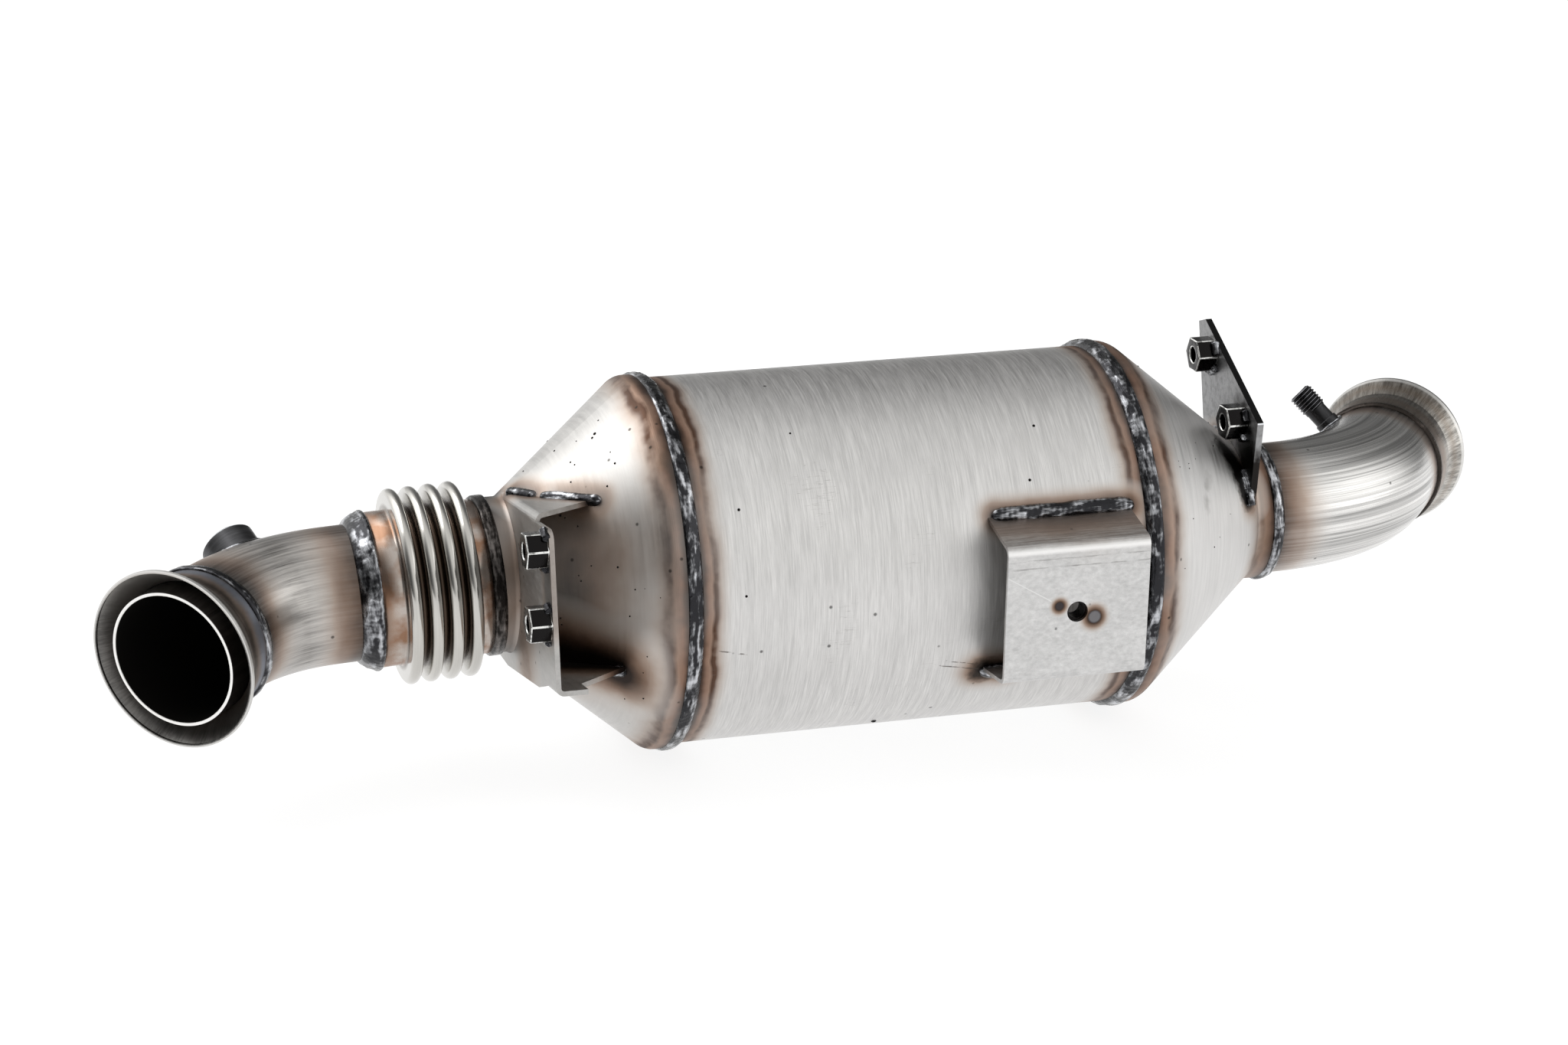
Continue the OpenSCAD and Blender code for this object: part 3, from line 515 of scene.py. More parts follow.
def plate_point(angle, r=PLATE_R, x=PLATE_X):
    """A point at the foot of the outlet plate, by its angle round the cone."""
    a = math.radians(angle)
    return spot(SEAM, SPAN + x, r * math.cos(a), r * math.sin(a))


print("bead places:", len(IN_BEADS) + len(SIDE_BEADS) + len(OUT_ARCS))

# %% [markdown]
# ## Canister
# The canister is rolled sheet, so its grain runs round the axis: the noise is squeezed along X and
# stretched across it. Its seams lie across X as well, so planes give the tint distance. The side
# bracket's beads leave halos, measured from short lines, and a black blot where the lower one starts.
# Fine hairs are scattered by noise, and three long scratches are drawn as broken lines.

# %% Canister
SCRATCHES = [
    ((12, -92.8, -20.0), (27, -92, -23.8)),
    ((128, -85.6, -41.1), (153, -82.8, -46.5)),
    ((134, -86.5, -39.2), (152, -84.6, -43.2)),
]
s = Sheet("rolled canister sheet")
grain = s.brushed(s.point, 1500.0, RING_GRAIN)
low_start, low_end = SIDE_BEADS[1]
tints = [
    (s.past(s.from_plane(INLET_SIDE, 0), 0.0035), 0.016, 1.0, 1.0),
    (s.past(s.from_plane(OUTLET_SIDE, 0), 0.0035), 0.0165, 1.0, 1.0),
    (s.past(s.from_line(*SIDE_BEADS[0]), 0.0015), 0.0125, 0.9),
    (s.past(s.from_line(low_start, low_start.lerp(low_end, 0.1)), 0.002), 0.018, 0.9),
]
marks = s.noise(s.vector("MULTIPLY", s.point, (0.05, 1, 1)), 420, 3, 0.6)
marks = s.math("SUBTRACT", marks, 0.5)
hairs = s.span(s.math("ABSOLUTE", marks), 0.0, 0.006, 0.55, 0)
rare = s.span(s.noise(s.point, 26, 2), 0.6, 0.68)
ragged = s.math("SUBTRACT", s.noise(s.point, 150, 4), 0.5)
blot = s.math("MULTIPLY_ADD", ragged, 0.012, s.from_point(low_start))
stains = [
    (s.times(hairs, rare), (0.16, 0.14, 0.125), 0.5),
    (s.span(blot, 0.0045, 0.0105, 0.92, 0), (0.028, 0.023, 0.02), 0.45),
]
gaps = s.span(s.noise(s.point, 320, 3), 0.4, 0.55)
for start, end in SCRATCHES:
    line = s.from_line(spot(SEAM, *start), spot(SEAM, *end))
    thin = s.span(s.math("MULTIPLY_ADD", marks, 0.0025, line), 0.0002, 0.0005, 0.75, 0)
    stains.append((s.times(thin, gaps), (0.08, 0.065, 0.055), 0.5))
canister = s.finish(
    SILVER, grain, 0.40, tints, grain_depth=0.1, spots=0.03, soil=0.3, stains=stains, sharp=0.13
)
wear(canister, "body_shell")
print("canister dressed")

# %% [markdown]
# ## Cones
# The cones are pressed, and their grain runs round the axis too. Each has a seam at its wide end and a
# bead at its neck. The inlet cone is browned along the bracket's beads, with painted shade beside the
# bracket's web and soot with painted shade under its lower fold. The outlet cone has soot and painted
# shade at the foot of its plate and two grey smears, all with ragged edges.

# %% Cones
PLATE_FOOT = spot(SEAM, SPAN + 67, -29, 44), spot(SEAM, SPAN + 74, -40, 22)
SMEARS = [((285.9, -58.4, 37.9), (284, -62, 34)), ((282, -67, 29), (281, -69, 25))]

s = Sheet("pressed inlet cone sheet")
grain = s.brushed(s.point, 700.0, RING_GRAIN)
tints = [
    (s.from_plane(INLET_SIDE, 3, 1), 0.0215, 1.0, 1.0),
    (s.from_plane(INLET_SIDE, NECK_IN - 10, -1), 0.009, 0.95),
    *[(s.past(s.from_line(*bead), 0.002), 0.013, 0.9) for bead in IN_BEADS[:2]],
    # Painted shade beside the bracket web, drawn as a brown tint.
    (s.from_line(*WEB_SHADE), 0.058, 0.7),
    # Soot with painted shade under the bracket's lower fold.
    (s.past(s.from_line(*LOW_SOOT_AND_SHADE), 0.005), 0.026, 0.98),
]
inlet_sheet = s.finish((0.61, 0.598, 0.582), grain, 0.4, tints, grain_depth=0.1, spots=0.06, soil=0.5)
wear(inlet_sheet, "inlet_cone")

s = Sheet("pressed outlet cone sheet")
grain = s.brushed(s.point, 700.0, RING_GRAIN)
tints = [
    (s.from_plane(OUTLET_SIDE, 2, 1), 0.022, 1.0, 1.0),
    (s.from_plane(OUTLET_SIDE, NECK_OUT - 3, -1), 0.02, 0.95, 0.6),
    *[(s.from_line(plate_point(a), plate_point(b)), 0.014, 0.85) for a, b in OUT_ARCS],
]
ragged = s.times(s.noise(s.point, 170, 4), 0.01)
# Soot with painted shade in the corner at the foot of the plate.
soot_and_shade = s.span(s.math("ADD", s.from_line(*PLATE_FOOT), ragged), 0.0105, 0.016, 1, 0)
stains = [(soot_and_shade, (0.016, 0.014, 0.013), 0.4)]
for start, end in SMEARS:
    line = s.from_line(spot(SEAM, *start), spot(SEAM, *end))
    smear = s.span(s.math("ADD", line, ragged), 0.0045, 0.009, 0.4, 0)
    stains.append((smear, (0.22, 0.21, 0.2), 0.45))
outlet_sheet = s.finish(
    SILVER, grain, 0.40, tints, grain_depth=0.08, spots=0.03, soil=0.3, stains=stains
)
wear(outlet_sheet, "outlet_cone")
print("cones dressed")

# %% [markdown]
# ## Bent pipes
# A tube that is drawn and bent shows long streaks that follow its bend. The bend group straightens the
# pipe: noise over the cross-section alone makes streaks along the pipe, and the length along the pipe
# gives the distance from the bead at either end. The bore is darkened with soot and painted shade, and the
# cut end carries a painted highlight.


# %% Pipes
def pipe_sheet(name, run, ends, color, rough, soil, streak, fine, burnt):
    """A drawn pipe; ends are the toes of its two beads, from the run's start and from the mouth."""
    matrix, lead, bend_r, bend, tail = run
    s = Sheet(name)
    local = s.mapped(s.point, matrix @ move(0, 0, lead))
    out = s.grouped(bend_coordinates, vector=local, radius=bend_r * MM, angle=math.radians(bend))
    along = s.add("ShaderNodeCombineXYZ", {2: out["Along"]}).outputs[0]
    along = s.vector("MULTIPLY", along, (1, 1, streak))
    grain = s.brushed(s.vector("ADD", out["Across"], along), fine)
    end = bend_r * math.radians(bend) + tail
    tints = [
        (s.past(out["Along"], (ends[0] - lead) * MM), burnt, 0.85),
        (s.past((end - ends[1]) * MM, out["Along"]), burnt, 0.85),
    ]
    # Soot and painted shade inside the bore, and a painted highlight on the cut end.
    soot_and_shade = s.span(s.vector("LENGTH", out["Across"]), 0.03365, 0.0338, 1, 0)
    cut = s.span(out["Along"], (end - 0.5) * MM, (end - 0.2) * MM)
    stains = [(soot_and_shade, (0.012, 0.011, 0.01), 0.75), (cut, (0.9, 0.89, 0.87), 0.3)]
    return s.finish(
        color, grain, rough, tints, grain_depth=0.28, spots=0.05, soil=soil, stains=stains, sharp=0.11
    )


inlet_drawn = pipe_sheet(
    "drawn inlet pipe", (INLET_RUN, BELLOWS_LEN + IN_LEAD, IN_BEND_R, IN_BEND, IN_TAIL),
    ends=(BELLOWS_LEN + 5, 33), color=(0.46, 0.44, 0.42), rough=0.3, soil=0.7,
    streak=0.03, fine=520.0, burnt=0.036,
)
outlet_drawn = pipe_sheet(
    "drawn outlet pipe", (OUTLET_RUN, OUT_LEAD, OUT_BEND_R, OUT_BEND, OUT_TAIL),
    ends=(2, 37), color=(0.7, 0.69, 0.675), rough=0.24, soil=0.5,
    streak=0.006, fine=560.0, burnt=0.023,
)
wear(inlet_drawn, *[name for name in nodes if name.startswith("inlet_pipe")])
wear(outlet_drawn, "outlet_pipe")
print("pipes dressed")

# %% [markdown]
# ## Flared collars
# The collars were spun from tube, so their flare is brushed along its slope: the grain depends almost
# only on the angle round the mouth. Painted light and shade change the inner or the outer face from one
# height up. Bands are wavy rings on the outer face: heat colour, and at the inlet also a painted highlight
# ring and painted shade. A painted highlight runs round the rim.


# %% Collars
def collar_sheet(
    name, node, matrix, color, rough, reach, strength, depth, length, fine, painted_light_and_shade, heat_and_painted_bands
):
    """Painted light and shade: (1 inner or 0 outer, low end, amount, colour); bands: (place, half, amount,
    colour).
    """
    s = Sheet(name)
    flat = s.mapped(s.point, matrix, (1, 1, 0))
    spoke = s.vector("NORMALIZE", flat)
    local_z = s.from_plane(matrix, 0, 1)
    drift = s.add("ShaderNodeCombineXYZ", {2: s.times(local_z, 3.0)}).outputs[0]
    grain = s.brushed(s.vector("ADD", spoke, drift), fine)
    tints = [(s.past(length * MM, local_z), reach, strength)]
    rise = s.vector("DOT_PRODUCT", spoke, matrix.to_3x3().inverted() @ Vector((0, 0, 1)))
    faces = s.add("ShaderNodeNewGeometry").outputs["Normal"]
    outward = s.vector("DOT_PRODUCT", faces, matrix.to_3x3() @ Vector((0, 0, -1)))
    stains = []
    for inner, low, amount, shade in painted_light_and_shade:
        face = s.span(outward, 0.1, 0.2, 1 - inner, inner)
        part = s.times(s.span(rise, low, low + 0.6, 0, amount, soft=True), face)
        stains.append((part, shade, rough))
    outside = s.span(outward, 0.1, 0.2, 1, 0)
    for z, half, amount, shade in heat_and_painted_bands:
        wave = s.math("MULTIPLY_ADD", s.noise(s.point, 60), 0.006, (-z - 3) * MM)
        away = s.math("ABSOLUTE", s.math("ADD", local_z, wave))
        band = s.span(away, 0.0, half * MM, amount, 0, soft=True)
        stains.append((s.times(band, outside), shade, rough - 0.1))
    to_mouth = matrix.inverted()
    rim = max((to_mouth @ v.co).xy.length for v in nodes[node].data.vertices)
    # Painted highlight round the rim.
    edge = s.span(s.vector("LENGTH", flat), rim - 0.0011, rim - 0.0006, 0, 0.8)
    stains.append((edge, (0.75, 0.74, 0.72), rough))
    flare = s.finish(
        color, grain, rough, tints, grain_depth=depth, spots=0.02, soil=0.4, sharp=0.1, stains=stains
    )
    wear(flare, node)


collar_sheet(
    "dark inlet collar", "inlet_flange", INLET_MOUTH, color=(0.13, 0.126, 0.12), rough=0.4,
    reach=0.032, strength=0.9, depth=0.36, length=34, fine=46.0,
    # Painted highlight on the top of the inner face; the outer face is darkened, partly heat colour and
    # partly painted shade.
    painted_light_and_shade=[(1, 0.2, 0.85, (0.62, 0.6, 0.57)), (0, -1.3, 0.5, (0.08, 0.066, 0.055))],
    # The blue-grey band is a painted highlight ring and the dark band painted shade; the grey-brown band is
    # heat colour.
    heat_and_painted_bands=[
        (25, 5, 0.9, (0.2, 0.215, 0.25)),
        (18, 4, 0.8, (0.03, 0.024, 0.02)),
        (11, 5, 0.8, (0.3, 0.27, 0.24)),
    ],
)
collar_sheet(
    "outlet collar", "outlet_flange", OUTLET_MOUTH, color=(0.47, 0.45, 0.42), rough=0.3,
    reach=0.02, strength=0.7, depth=0.3, length=38, fine=30.0,
    # Painted shade on the upper part of the outer face.
    painted_light_and_shade=[(0, 0.35, 0.6, (0.1, 0.082, 0.066))],
    heat_and_painted_bands=[(26, 6, 0.6, (0.2, 0.145, 0.105)), (10, 5, 0.45, (0.22, 0.17, 0.13))],
)
print("collars dressed")

# %% [markdown]
# ## Inlet bracket
# The brackets are cut and folded from flat sheet, so their grain is plain and short. Brown halos lie
# along the inlet bracket's beads and around its two nuts, and soot with painted shade at its lower corner.

# %% Inlet bracket
IN_NUTS = [(-77, -105.5, 10.5 + side * 18.25) for side in (-1, 1)]
s = Sheet("folded inlet bracket")
grain = s.brushed(s.point, 420.0, (1, 0.25, 1))
nut_line = s.from_line(*[spot(IN_BRACKET, *place) for place in IN_NUTS])
tints = [
    *[(s.from_line(*bead), 0.014, 0.85) for bead in IN_BEADS[:2]],
    # Soot with painted shade at the lower corner.
    (s.past(s.from_line(*LOW_SOOT_AND_SHADE), 0.009), 0.03, 0.97),
    (s.past(nut_line, 0.004), 0.013, 0.45),
]
wear(s.finish((0.5, 0.49, 0.475), grain, 0.42, tints, spots=0.06, soil=0.4), "inlet_bracket")
print("inlet bracket dressed")

# %% [markdown]
# ## Side bracket
# The side bracket shows two round marks where the nut behind it was spot welded, and a fine scratch that
# runs to its hole. A painted highlight lies as a bright line along its upper fold, under a brown, streaked
# top, and two rubbed lines cross its face.

# %% Side bracket
SIDE_FACE = -118.3
SPOT_WELDS = [(182.7, 3.8, 5.2), (201.8, -3.6, 7.6)]
FOLD_LINE = 0.0338
s = Sheet("folded side bracket")
local = s.mapped(s.point, SIDE_BRACKET)
grain = s.brushed(local, 480.0, (0.6, 1, 1))
tints = [(s.past(s.from_line(*SIDE_BEADS[0]), 0.003), 0.032, 0.85)]
rings = []
for x, z, radius in SPOT_WELDS:
    ring = s.from_point(spot(SIDE_BRACKET, x, SIDE_FACE, z))
    tints.append((s.past(ring, radius * 0.4 * MM), radius * 0.8 * MM, 1.0))
    rings.append(s.span(ring, radius * 0.34 * MM, radius * 0.48 * MM, 0.85, 0))
scratch = s.from_line(*[spot(SIDE_BRACKET, x, SIDE_FACE, z) for x, z in ((155, 21), (178, 7))])
shine = s.span(scratch, 0.0, 0.00035, 1, 0)
grain = s.math("ADD", grain, s.times(shine, 0.8))
height = s.add("ShaderNodeSeparateXYZ", {"Vector": local}).outputs["Z"]
streaks = s.noise(s.vector("MULTIPLY", local, (0.06, 1, 1)), 900, 4, 0.65)
top = s.times(s.span(height, 0.0352, 0.0375), s.span(streaks, 0.4, 0.62, 0.25, 0.75))
fold = s.math("ABSOLUTE", s.past(height, FOLD_LINE))
stains = [
    (top, (0.2, 0.16, 0.135), 0.42),
    # Painted highlight: a bright line along the upper fold.
    (s.span(fold, 0.0004, 0.0019, 0.75, 0), (0.93, 0.92, 0.91), 0.34),
    (rings[0], (0.06, 0.052, 0.055), 0.4),
    (rings[1], (0.2, 0.195, 0.205), 0.4),
]
rub = s.noise(s.vector("MULTIPLY", local, (0.4, 1, 3)), 160, 4, 0.7)
for z, amount in ((29.5, 0.5), (25.2, 0.65)):
    line = s.span(s.math("ABSOLUTE", s.past(height, z * MM)), 0.0, 0.0006, 1, 0)
    rubbed = s.times(line, s.span(rub, 0.46, 0.6, 0, amount))
    stains.append((rubbed, (0.12, 0.11, 0.105), 0.5))
side_sheet = s.finish(
    (0.65, 0.645, 0.64), grain, 0.4, tints, grain_depth=0.13, spots=0.02, soil=0.2, stains=stains
)
wear(side_sheet, "side_bracket")
print("side bracket dressed")

# %% [markdown]
# ## Outlet plate
# The plate is darker and mottled, with soot and painted shade above its bead. Its cut edges tell its
# thickness: painted shade darkens the upper one and a painted highlight lights the front one. Both pass
# through one corner, so each edge is found by the way it faces.

# %% Outlet plate
PLATE_CORNER = spot(SEAM, 0, -45.5, 61)
TOP_EDGE, FRONT_EDGE = (0, -38.5, 75.5), (0, -61, 9.56)
PLATE_BURN = spot(SEAM, SPAN + PLATE_X, -24, 57), spot(SEAM, SPAN + PLATE_X, -38, 30)


def on_edge(s, facing):
    """The cut edge that faces one way, with a margin of 0.3 mm."""
    way = Vector(facing).normalized()
    beyond = s.past(s.vector("DOT_PRODUCT", s.point, way), way.dot(PLATE_CORNER) - 0.0003)
    return s.span(beyond, 0.0, 0.0002)


s = Sheet("flat outlet plate")
grain = s.brushed(s.point, 360.0, (1, 0.4, 1))
tints = [(s.from_line(plate_point(a), plate_point(b)), 0.012, 0.9) for a, b in OUT_ARCS]
ragged = s.times(s.noise(s.point, 160, 4), 0.012)
# Soot with painted shade above the plate's bead.
soot_and_shade = s.span(s.math("ADD", s.from_line(*PLATE_BURN), ragged), 0.014, 0.021, 1, 0)
mottle = s.span(s.noise(s.point, 240, 4, 0.7), 0.45, 0.7, 0, 0.5)
stains = [
    (mottle, (0.1, 0.1, 0.1), 0.5),
    (soot_and_shade, (0.02, 0.018, 0.017), 0.4),
    # Painted shade on the upper cut edge, and a painted highlight on the front one.
    (on_edge(s, TOP_EDGE), (0.015, 0.015, 0.015), 0.3),
    (on_edge(s, FRONT_EDGE), (0.95, 0.97, 1.0), 0.45),
]
plate_sheet = s.finish((0.34, 0.34, 0.345), grain, 0.42, tints, spots=0.08, soil=0.5, stains=stains)
wear(plate_sheet, "outlet_bracket")
print("outlet plate dressed")

# %% [markdown]
# ## Weld metal
# Weld beads are dark, lumpy and half glossy, with a blue-grey skin. The beads made below keep two values
# at each point: "ridge", the height of the ripple, and "run", the place along and across the bead. The
# ridges and flecks are painted bright as glints, and drawn metal takes its noise from the run, so its
# strokes follow the bead.


# %% Weld metal
def weld_metal(
    name, dark, light, rough, lumps, painted_ridge_glint=0.0, start=0.36, uneven=0.03, wide=0.16, drawn=False
):
    """Dark lumpy metal with painted glints; where a piece has ridges, their backs are painted bright."""
    s = Sheet(name)
    if drawn:
        run = s.add("ShaderNodeAttribute", attribute_name="run").outputs["Vector"]
        skin = s.noise(s.vector("MULTIPLY", run, (0.1, 1.6, 1.0)), 1.0, 4, 0.6)
        fleck = s.noise(s.vector("MULTIPLY", run, (0.22, 2.4, 1.0)), 1.0, 2, 0.6)
    else:
        skin = s.noise(s.point, 150, 4, 0.6)
        fleck = s.noise(s.point, 560, 3, 0.6)
    back = s.add("ShaderNodeAttribute", attribute_name="ridge").outputs["Fac"]
    patch = s.span(s.noise(s.point, 32, 2), 0.36, 0.64, -uneven, uneven)
    # The shine mask is a painted highlight: ridges and flecks lighten the colour as glints, over the skin's
    # own patchy tone.
    shine = s.math("ADD", s.math("MULTIPLY_ADD", back, painted_ridge_glint, patch), s.times(skin, 0.45))
    shine = s.span(s.math("MULTIPLY_ADD", fleck, 0.25, shine), start, start + wide, soft=True)
    tone = s.mix(shine, (*dark, 1), (*light, 1))
    gloss = s.span(fleck, 0.3, 0.7, rough - 0.12, rough + 0.14)
    height = s.math("MULTIPLY_ADD", fleck, 0.4, skin)
    return s.join(tone, gloss, height, lumps, 0.001)


bead_metal = weld_metal(
    "weld bead", (0.03, 0.03, 0.033), (0.58, 0.59, 0.62), rough=0.2, lumps=0.45,
    painted_ridge_glint=0.26, start=0.31, uneven=0.06, wide=0.26, drawn=True,
)
burnt_metal = weld_metal(
    "burnt weld bead", (0.015, 0.013, 0.012), (0.22, 0.2, 0.19), rough=0.3, lumps=0.3,
    painted_ridge_glint=0.22, start=0.3, uneven=0.06, wide=0.34, drawn=True,
)
line_metal = weld_metal(
    "thin collar weld", (0.03, 0.025, 0.022), (0.12, 0.1, 0.09), rough=0.4, lumps=0.2
)
# The nut steel's light colour is a painted highlight on the nuts' bevelled faces.
nut_metal = weld_metal(
    "weld nut steel", (0.014, 0.013, 0.013), (0.85, 0.85, 0.83), rough=0.2, lumps=0.25,
    painted_ridge_glint=0.24, start=0.47, uneven=0.0,
)
wear(nut_metal, "side_bracket_nut")
print("weld metals ready")

# %% [markdown]
# ## Stub and boss steel
# The stub and the boss are turned parts that heat has darkened. The stub's thread crests carry a painted
# highlight. The boss has a painted highlight: a bright ring at the top of its side, where its edge was
# chamfered.

# %% Stub and boss steel
s = Sheet("blackened stub")
grain = s.brushed(s.mapped(s.point, STUB, (1, 1, 0.2)), 500.0)
# Painted highlight on the thread crests.
crest_highlight = s.span(s.from_axis(STUB), 0.0067, 0.0069, 0, 0.7)
stains = [(crest_highlight, (0.24, 0.24, 0.255), 0.25)]
stub_metal = s.finish((0.05, 0.05, 0.052), grain, 0.3, grain_depth=0.3, soil=0.5, stains=stains)

s = Sheet("heat-dark boss")
above = s.from_plane(BOSS, PIPE_R + BOSS_TOP, 1)
# Painted highlight: a bright ring round the top of the boss's side.
rim = s.times(s.span(s.from_axis(BOSS), 0.0129, 0.0132), s.span(above, -0.0014, -0.0011))
grain = s.brushed(s.mapped(s.point, BOSS, (0.1, 0.1, 1)), 600.0)
stains = [(rim, (0.8, 0.82, 0.86), 0.25)]
boss_metal = s.finish((0.1, 0.1, 0.105), grain, 0.32, grain_depth=0.3, soil=0.6, stains=stains)
wear(boss_metal, "sensor_boss")
print("stub and boss steel ready")

# %% [markdown]
# ## Brick and mat
# The ceramic brick has many square channels, every other one plugged, so a checker shows its face. The
# fibre mat around it is felt. Both are inside, and get plain finishes.

# %% Brick and mat
s = Sheet("porous brick")
face = s.vector("MULTIPLY", s.point, (0, 1, 1))
channels = s.add("ShaderNodeTexChecker", {"Vector": face, "Scale": 700.0})
tone = s.mix(channels.outputs["Fac"], (0.3, 0.28, 0.24, 1), (0.12, 0.11, 0.1, 1))
s.tree.links.new(tone, s.shader.inputs["Base Color"])
s.shader.inputs["Roughness"].default_value = 0.95
wear(s.material, "filter_brick")

s = Sheet("fibre mat")
felt = s.noise(s.point, 600, 6, 0.8)
tone = s.ramp(felt, [(0.3, (0.55, 0.52, 0.46)), (0.7, (0.82, 0.8, 0.74))])
s.tree.links.new(tone, s.shader.inputs["Base Color"])
s.shader.inputs["Roughness"].default_value = 1.0
wear(s.material, "support_mat")
print("brick and mat dressed")

# %% [markdown]
# ## Turning a mesh into a piece
# Every new piece takes the same last steps: merge doubles, point the faces outwards, move it to its
# place, shade it smooth with crisp edges, and hide the solids it stands for.


# %% Piece helper
def piece(name, bm, material, matrix, stands_for=(), crease=40, scale=MM):
    bmesh.ops.remove_doubles(bm, verts=bm.verts, dist=1e-7 / scale)
    bmesh.ops.recalc_face_normals(bm, faces=bm.faces)
    bmesh.ops.scale(bm, verts=bm.verts, vec=(scale, scale, scale))
    bmesh.ops.transform(bm, verts=bm.verts, matrix=matrix)
    data = bpy.data.meshes.new(name)
    bm.to_mesh(data)
    bm.free()
    data.shade_smooth()
    data.set_sharp_from_angle(angle=math.radians(crease))
    data.materials.append(material)
    obj = bpy.data.objects.new(name, data)
    bpy.context.scene.collection.objects.link(obj)
    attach(obj, "root")
    if stands_for:
        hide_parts(*stands_for)
    print(name, len(data.polygons), "faces")
    return obj


def spun(bm, steps, turns=1.0, rise=0.0):
    """Spins everything in the mesh about Z."""
    bmesh.ops.spin(
        bm, geom=bm.verts[:] + bm.edges[:], cent=(0, 0, 0), axis=(0, 0, 1), dvec=(0, 0, rise),
        angle=2 * math.pi * turns, steps=steps, use_merge=(turns == 1.0 and rise == 0.0),
    )


def joined(bm, points, closed=False):
    """Draws a line of (radius, height) points in the XZ plane and returns its vertices."""
    verts = [bm.verts.new((r, 0, z)) for r, z in points]
    for a, b in zip(verts, verts[1:] + verts[:1] if closed else verts[1:]):
        bm.edges.new((a, b))
    return verts


print("piece helpers ready")

# %% [markdown]
# ## Ring welds
# A fused bead freezes in long, overlapping ripples with lumps between. Each ring starts as one small
# circle that is squashed to the bead's section and spun about the pipe. The points on its back are then
# pushed in and out by ripples and noise, most at the crown and not at all at the toes, so the bead
# still sits on its seam. The two layers keep ridge and run for the weld metal.


# %% Ring welds
def ripple(s, t, seed):
    """Height of the bead's back at length s along it and place t across it, about -1 to 1."""
    lump = noise.noise(Vector((s * 0.09, t * 0.5, seed)))
    pace = s / 3.1 + 0.9 * lump
    crescent = math.sin(2 * math.pi * (pace - 0.32 * t * t))
    stroke = noise.noise(Vector((s * 0.12, t * 2.4, seed + 9.0)))
    grit = stroke + 0.4 * noise.noise(Vector((s * 0.4, t * 3, seed)))
    return 0.1 * crescent + 0.5 * lump + 0.85 * grit


def bead_layers(bm):
    """The layers for ridge and run, made when the mesh has none yet."""
    floats, vectors = bm.verts.layers.float, bm.verts.layers.float_vector
    ridge = floats.get("ridge") or floats.new("ridge")
    return ridge, vectors.get("run") or vectors.new("run")


def ring_bead(name, matrix, radii, widths, crown, height, seed, stands_for, metal):
    """A rippled ring over a step between two radii; the first is on the +Z side."""
    (r_low, r_high), (w_low, w_high) = radii, widths
    bm = bmesh.new()
    bmesh.ops.create_circle(bm, segments=22, radius=1)
    for v in bm.verts:
        back, t = v.co.x, v.co.y
        half = w_low if t > 0 else w_high
        base = r_high + (r_low - r_high) * (t + 1) / 2
        v.co = (base + back * (crown if back > 0 else 0.5), 0, t * half)
    middle_r = (r_low + r_high) / 2
    bead_layers(bm)
    spun(bm, int(2 * math.pi * middle_r / 1.1))
    ridge, run = bead_layers(bm)
    for v in bm.verts:
        r = math.hypot(v.co.x, v.co.y)
        t = v.co.z / (w_low if v.co.z > 0 else w_high)
        base = r_high + (r_low - r_high) * (t + 1) / 2
        s = math.atan2(v.co.y, v.co.x) * middle_r
        weight = max(0.0, (r - base) / crown)
        v[ridge] = weight * ripple(s, t, seed)
        v[run] = (s, t, seed)
        rise = min(height * v[ridge], r_high + crown * 0.62 - r)
        push = 1 + rise / r
        sway = weight * 0.5 * noise.noise(Vector((s * 0.12, seed, 0)))
        v.co = (v.co.x * push, v.co.y * push, v.co.z + sway)
    return piece(name, bm, metal, matrix, stands_for)


bellows_end = INLET_RUN @ move(0, 0, BELLOWS_LEN)
in_collar_end = INLET_MOUTH @ move(0, 0, 31)
out_collar_end = OUTLET_MOUTH @ move(0, 0, 37)
RINGS = [
    ("inlet_seam_bead", INLET_SIDE @ FLIP, (CAN_R, LIP_R), (4.0, 4.2), 2.0, 0.8, "inlet_seam_weld"),
    ("outlet_seam_bead", OUTLET_SIDE @ FLIP, (CAN_R, LIP_R), (4.2, 4.5), 2.0, 0.8, "outlet_seam_weld"),
    ("bellows_bead", bellows_end, (PIPE_R, CUFF_R), (7.15, 3.85), 2.9, 0.8, "bellows_weld"),
    ("inlet_neck_bead", INLET_RUN, (CUFF_R, CUFF_R + 0.3), (3.5, 3.5), 2.1, 0.7, "inlet_neck_weld"),
    ("outlet_neck_bead", OUTLET_RUN, (PIPE_R, OUT_NECK_R), (3.5, 3.5), 2.0, 0.7, "outlet_neck_weld"),
    ("inlet_collar_bead", in_collar_end, (PIPE_R, COLLAR_R), (3.5, 3.5), 1.9, 0.5, "inlet_flange_weld"),
    ("outlet_collar_bead", out_collar_end, (PIPE_R, COLLAR_R), (1.5, 1.2), 0.6, 0.15, "outlet_flange_weld"),
]
RING_METALS = {"inlet_neck_bead": burnt_metal, "outlet_collar_bead": line_metal}
for seed, (name, *shape, node) in enumerate(RINGS, 1):
    ring_bead(name, *shape, seed, [node], RING_METALS.get(name, bead_metal))

# %% [markdown]
# ## Short beads at the brackets
# The brackets are held by short runs of weld. Each starts as a sphere that is drawn out into a bar with
# round ends and sunk half into the corner between the sheets. Its skin is then rippled along its length.
# The outlet plate's beads are arcs, so each is made of four bars in a row.


